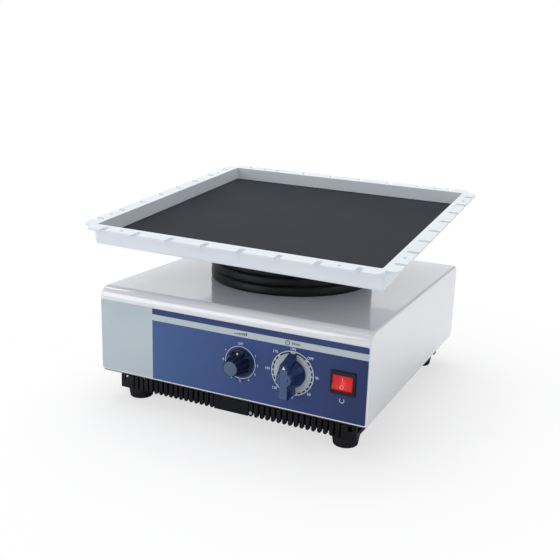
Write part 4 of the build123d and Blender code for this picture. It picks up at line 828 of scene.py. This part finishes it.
def print_timer_dial():
    """Pale disc, a band of dark dashes with pale ticks between them, a thin ring and numbers."""
    disc = arc("timer_disc", 5 * MM, 21.4 * MM)
    printed(disc, DIAL_INK, TIMER_X, DIAL_Z, 1)
    ring = arc("timer_ring", 21.4 * MM, 22.1 * MM)
    printed(ring, WHITE_INK, TIMER_X, DIAL_Z, 1)
    dashes = [
        arc("dash", 19.6 * MM, 21.1 * MM, 7, 33), arc("dash", 19.6 * MM, 21.1 * MM, 320, 33)
    ]
    for i in range(18):
        dashes.append(arc("dash", 19.6 * MM, 21.1 * MM, 47.3 + 15 * i, 10.4))
    printed(join("timer_dashes", dashes), BLACK_INK, TIMER_X, DIAL_Z, 2)
    steps = {
        0: ("ON", 24.0), 45: ("OFF", 25.4), 90: ("30", 25.2), 135: ("60", 25.0),
        180: ("90", 24.2), 225: ("120", 26.0), 270: ("150", 26.4), 315: ("180", 26.0),
    }
    numbers = [
        label("number", words, 3.7 * MM, *around(away * MM, angle), weight=0.09 * MM)
        for angle, (words, away) in steps.items()
    ]
    printed(join("timer_numbers", numbers), WHITE_INK, TIMER_X, DIAL_Z, 1)


def print_symbols():
    """A growing wedge over the speed dial, a clock over the timer, and a power sign by the switch."""
    bars = [
        strip("bar", (i * 1.9 - 6.65) * MM, (i * 1.9 - 5.55) * MM, -1.3 * MM, (-0.6 + i * 0.28) * MM)
        for i in range(8)
    ]
    printed(join("speed_symbol", bars), DARK_INK, SPEED_X - 1 * MM, BASE_TOP + 68 * MM)
    clock = [arc("rim", 1.9 * MM, 2.4 * MM)]
    clock.append(strip("hand", -0.22 * MM, 0.22 * MM, -0.2 * MM, 1.5 * MM))
    clock.append(strip("hand", -0.2 * MM, 1.2 * MM, -0.22 * MM, 0.22 * MM))
    clock += [
        strip("bar", (4.6 + i * 2.2) * MM, (5.7 + i * 2.2) * MM, -1.1 * MM, 1.1 * MM)
        for i in range(4)
    ]
    printed(join("timer_symbol", clock), DARK_INK, TIMER_X - 6 * MM, BASE_TOP + 67.8 * MM)
    sign = [arc("arc", 1.95 * MM, 2.55 * MM, 38, 284)]
    sign.append(strip("bar", -0.32 * MM, 0.32 * MM, 0.3 * MM, 3.1 * MM))
    printed(join("power_symbol", sign), WHITE_INK, SWITCH_X - 0.5 * MM, BASE_TOP + 21.6 * MM, 1)


print_fields()
print_speed_dial()
print_timer_dial()
print_symbols()


# ---------------------------------------------------------------------------------------
# Knobs
# ---------------------------------------------------------------------------------------

def triangle(name, wide, high):
    """A flat triangle standing on the x axis, its point up."""
    piece = strip(name, -wide / 2, wide / 2, 0, high)
    edit_where(piece, "VERT", lambda co: co.y > high / 2)
    bpy.ops.mesh.merge(type="CENTER")
    deselect()
    return piece


def raise_mark(piece, body, material, x, z, y):
    """Give a flat mark the ink's thickness and stand it on a control."""
    thick_print(piece)
    on_front(piece, x, z, y)
    return finish(piece, body, material)


def make_speed_knob():
    """Skirted cone with shallow grip flutes, a slate cap and a white index on the skirt."""
    rings = [
        (13.6, 0.6), (14.1, 0.9), (14.1, 1.6), (13.8, 2.5), (13.4, 2.9), (12.6, 3.1), (12.0, 3.7),
        (10.6, 9.0), (9.4, 14.0), (8.3, 18.8), (8.0, 19.9), (7.6, 20.35),
    ]
    knob = turned("speed_knob_body", [(r * MM, h * MM) for r, h in rings], 96)
    edit_where(knob, "FACE", lambda c, n: n.z > 0.99 and c.z > 20 * MM)
    bpy.ops.mesh.inset(thickness=0.4 * MM, depth=0)
    bpy.ops.mesh.extrude_region_move(TRANSFORM_OT_translate={"value": (0, 0, -0.5 * MM)})
    deselect()
    flute = turned("flute", [(1.5 * MM, 3.4 * MM), (1.5 * MM, 21 * MM)], 24)
    place(flute, Matrix.Translation((13.0 * MM, 0, 0)) @ Matrix.Rotation(radians(-13), 4, "Y"))
    flutes = [
        copy_of(flute, "flute", Matrix.Rotation(radians(30 * i), 4, "Z")) for i in range(12)
    ]
    bpy.data.objects.remove(flute)
    grip = join("flutes", flutes)
    modify(knob, "BOOLEAN", operation="DIFFERENCE", object=grip, solver="EXACT")
    bpy.data.objects.remove(grip)
    smooth(knob, 40)
    on_front(knob, SPEED_X, DIAL_Z)
    finish(knob, "speed_knob", KNOB_BLACK)
    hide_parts("speed_knob")
    mark = place(triangle("speed_mark", 3.0 * MM, 2.8 * MM), Matrix.Translation((0, 9.8 * MM, 0)))
    place(mark, Matrix.Rotation(radians(-12), 4, "X"))
    raise_mark(mark, "speed_knob", POINTER_WHITE, SPEED_X, DIAL_Z, PANEL_Y - 9 * MM)
    cap_rings = [(7.1, 19.8), (7.2, 20.0), (7.15, 20.3), (6.9, 20.4)]
    cap = turned("speed_cap", [(r * MM, h * MM) for r, h in cap_rings], 96)
    smooth(cap, 40)
    on_front(cap, SPEED_X, DIAL_Z)
    finish(cap, "speed_knob", CAP_SLATE)
    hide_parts("speed_knob_cap")


def make_timer_knob():
    """Cone hub with a long bar across it. The bar has a slate inlay and slopes off at its point."""
    rings = [(13.4, 0.6), (13.9, 0.9), (13.9, 2.4), (13.3, 3.2), (8.6, 17.0), (7.9, 19.4), (7.5, 19.8)]
    knob = turned("timer_knob_body", [(r * MM, h * MM) for r, h in rings], 96)
    bar = begin(bpy.ops.mesh.primitive_cube_add, "timer_bar", size=1)
    place(
        bar,
        Matrix.Translation((0, -0.35 * MM, 10.2 * MM))
        @ Matrix.Diagonal((8.4 * MM, 40.1 * MM, 19.2 * MM, 1)),
    )
    edit_where(bar, "VERT", lambda co: co.y > 0 and co.z > 10 * MM)
    bpy.ops.transform.translate(value=(0, -6.2 * MM, 0))
    deselect()
    modify(bar, "BEVEL", width=0.7 * MM, segments=3, limit_method="ANGLE", angle_limit=radians(30))
    modify(knob, "BOOLEAN", operation="UNION", object=bar, solver="EXACT")
    bpy.data.objects.remove(bar)
    smooth(knob, 40)
    on_front(knob, TIMER_X, DIAL_Z)
    finish(knob, "timer_knob", TIMER_BLUE)
    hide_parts("timer_knob")
    inlay = strip("timer_inlay", -3.8 * MM, 3.8 * MM, -19.6 * MM, 9.6 * MM)
    edit_all(inlay, "VERT")
    bpy.ops.mesh.bevel(offset=0.6 * MM, segments=4, affect="VERTICES")
    deselect()
    raise_mark(inlay, "timer_knob", CAP_BLUE, TIMER_X, DIAL_Z, PANEL_Y - 19.8 * MM)
    for side in (1, -1):
        flank = arc("timer_inlay_flank", 4.6 * MM, 7.2 * MM, 90 * side - 50, 100)
        raise_mark(flank, "timer_knob", CAP_BLUE, TIMER_X, DIAL_Z, PANEL_Y - 19.8 * MM)
    mark = place(triangle("timer_mark", 3.2 * MM, 3.0 * MM), Matrix.Translation((0, 10.1 * MM, 0)))
    raise_mark(
        mark, "timer_knob", POINTER_WHITE, TIMER_X, DIAL_Z, PANEL_Y - 19.8 * MM - INK
    )


def mark_rocker():
    """A bar on the rocker's upper face and a ring on its lower face."""
    bar = strip("rocker_on_mark", -0.35 * MM, 0.35 * MM, 2.2 * MM, 5.2 * MM)
    raise_mark(bar, "rocker", MARK_PINK, SWITCH_X, SWITCH_Z, ROCKER_CROWN_Y)
    ring = thick_print(arc("rocker_off_mark", 1.25 * MM, 1.8 * MM))
    place(ring, Matrix.Translation((0, -3.4 * MM, 0)))
    place(ring, Matrix.Rotation(-ROCKER_FOLD, 4, "X"))
    on_front(ring, SWITCH_X, SWITCH_Z, ROCKER_CROWN_Y)
    finish(ring, "rocker", MARK_PINK)


make_speed_knob()
make_timer_knob()
mark_rocker()


# ---------------------------------------------------------------------------------------
# Camera, light and floor
# ---------------------------------------------------------------------------------------

def make_camera():
    """A 50 mm view from the front right of the operator, a little above the tray's rim."""
    azimuth, elevation, roll = radians(25.541), radians(14.725), radians(1.806)
    right = Vector((cos(azimuth), sin(azimuth), 0))
    back = Vector((sin(azimuth) * cos(elevation), -cos(azimuth) * cos(elevation), sin(elevation)))
    up = back.cross(right)
    rolled_right = right * cos(roll) + up * sin(roll)
    rolled_up = up * cos(roll) - right * sin(roll)
    data = bpy.data.cameras.new("camera")
    data.sensor_width = 36
    data.lens = 50.756
    camera = bpy.data.objects.new("camera", data)
    bpy.context.collection.objects.link(camera)
    turn = Matrix((rolled_right, rolled_up, back)).transposed().to_4x4()
    camera.matrix_world = Matrix.Translation((0.36169, -0.78800, 0.34709)) @ turn
    bpy.context.scene.camera = camera


def make_lamp(name, place_at, aim, width, height, power):
    """A soft rectangular lamp aimed at a point."""
    data = bpy.data.lights.new(name, "AREA")
    data.shape = "RECTANGLE"
    data.size, data.size_y, data.energy = width, height, power
    lamp = bpy.data.objects.new(name, data)
    bpy.context.collection.objects.link(lamp)
    direction = Vector(aim) - Vector(place_at)
    turn = direction.to_track_quat("-Z", "Y").to_matrix().to_4x4()
    lamp.matrix_world = Matrix.Translation(place_at) @ turn


def make_world():
    """White to the camera, a level soft grey for lighting and reflections."""
    world = bpy.data.worlds.new("studio")
    bpy.context.scene.world = world
    world.use_nodes = True
    tree = world.node_tree
    tree.nodes.clear()
    path = add_node(tree, "ShaderNodeLightPath")
    seen = add_node(
        tree, "ShaderNodeMath", {"operation": "MAXIMUM"},
        {0: path.outputs["Is Camera Ray"], 1: path.outputs["Is Transmission Ray"]},
    )
    fill = add_node(tree, "ShaderNodeBackground", {"Color": (0.97, 0.985, 1, 1), "Strength": 0.45})
    white = add_node(tree, "ShaderNodeBackground", {"Color": (1, 1, 1, 1), "Strength": 1.0})
    mix = add_node(
        tree, "ShaderNodeMixShader", {},
        {0: seen.outputs["Value"], 1: fill.outputs[0], 2: white.outputs[0]},
    )
    add_node(tree, "ShaderNodeOutputWorld", {}, {"Surface": mix.outputs[0]})


def make_floor():
    """A pale floor that keeps the object's shadow and turns pure white further off."""
    floor = begin(bpy.ops.mesh.primitive_plane_add, "floor", size=8)
    material = bpy.data.materials.new("pale_floor")
    material.use_nodes = True
    tree = material.node_tree
    tree.nodes.clear()
    path = add_node(tree, "ShaderNodeLightPath")
    paper = add_node(tree, "ShaderNodeBsdfDiffuse", {"Color": (0.92, 0.92, 0.93, 1)})
    glow = add_node(tree, "ShaderNodeEmission", {"Color": (1, 1, 1, 1), "Strength": 1.0})
    place_on = add_node(tree, "ShaderNodeTexCoord")
    away = add_node(
        tree, "ShaderNodeVectorMath", {"operation": "LENGTH"}, {0: place_on.outputs["Object"]}
    )
    whiter = add_node(
        tree, "ShaderNodeMapRange",
        {"From Min": 0.22, "From Max": 0.5, "To Min": 0.66, "To Max": 1.0},
        {"Value": away.outputs["Value"]},
    )
    share = add_node(
        tree, "ShaderNodeMath", {"operation": "MULTIPLY"},
        {0: whiter.outputs["Result"], 1: path.outputs["Is Camera Ray"]},
    )
    mix = add_node(
        tree, "ShaderNodeMixShader", {},
        {0: share.outputs["Value"], 1: paper.outputs[0], 2: glow.outputs[0]},
    )
    add_node(tree, "ShaderNodeOutputMaterial", {}, {"Surface": mix.outputs[0]})
    floor.data.materials.append(material)


make_camera()
make_world()
make_floor()
make_lamp("overhead_softbox", (-0.3, 0.2, 1.6), (0, 0, 0.12), 1.6, 1.4, 17.5)
make_lamp("right_softbox", (1.5, -0.3, 0.8), (0, 0, 0.1), 1.0, 1.0, 4.2)
make_lamp("front_softbox", (-0.9, -1.5, 0.6), (0, 0, 0.1), 1.0, 1.0, 7)
make_lamp("rear_card", (-1.0, 1.9, 0.5), (0, 0, 0.12), 2.6, 0.8, 3.2)
bpy.context.scene.view_settings.view_transform = "Standard"
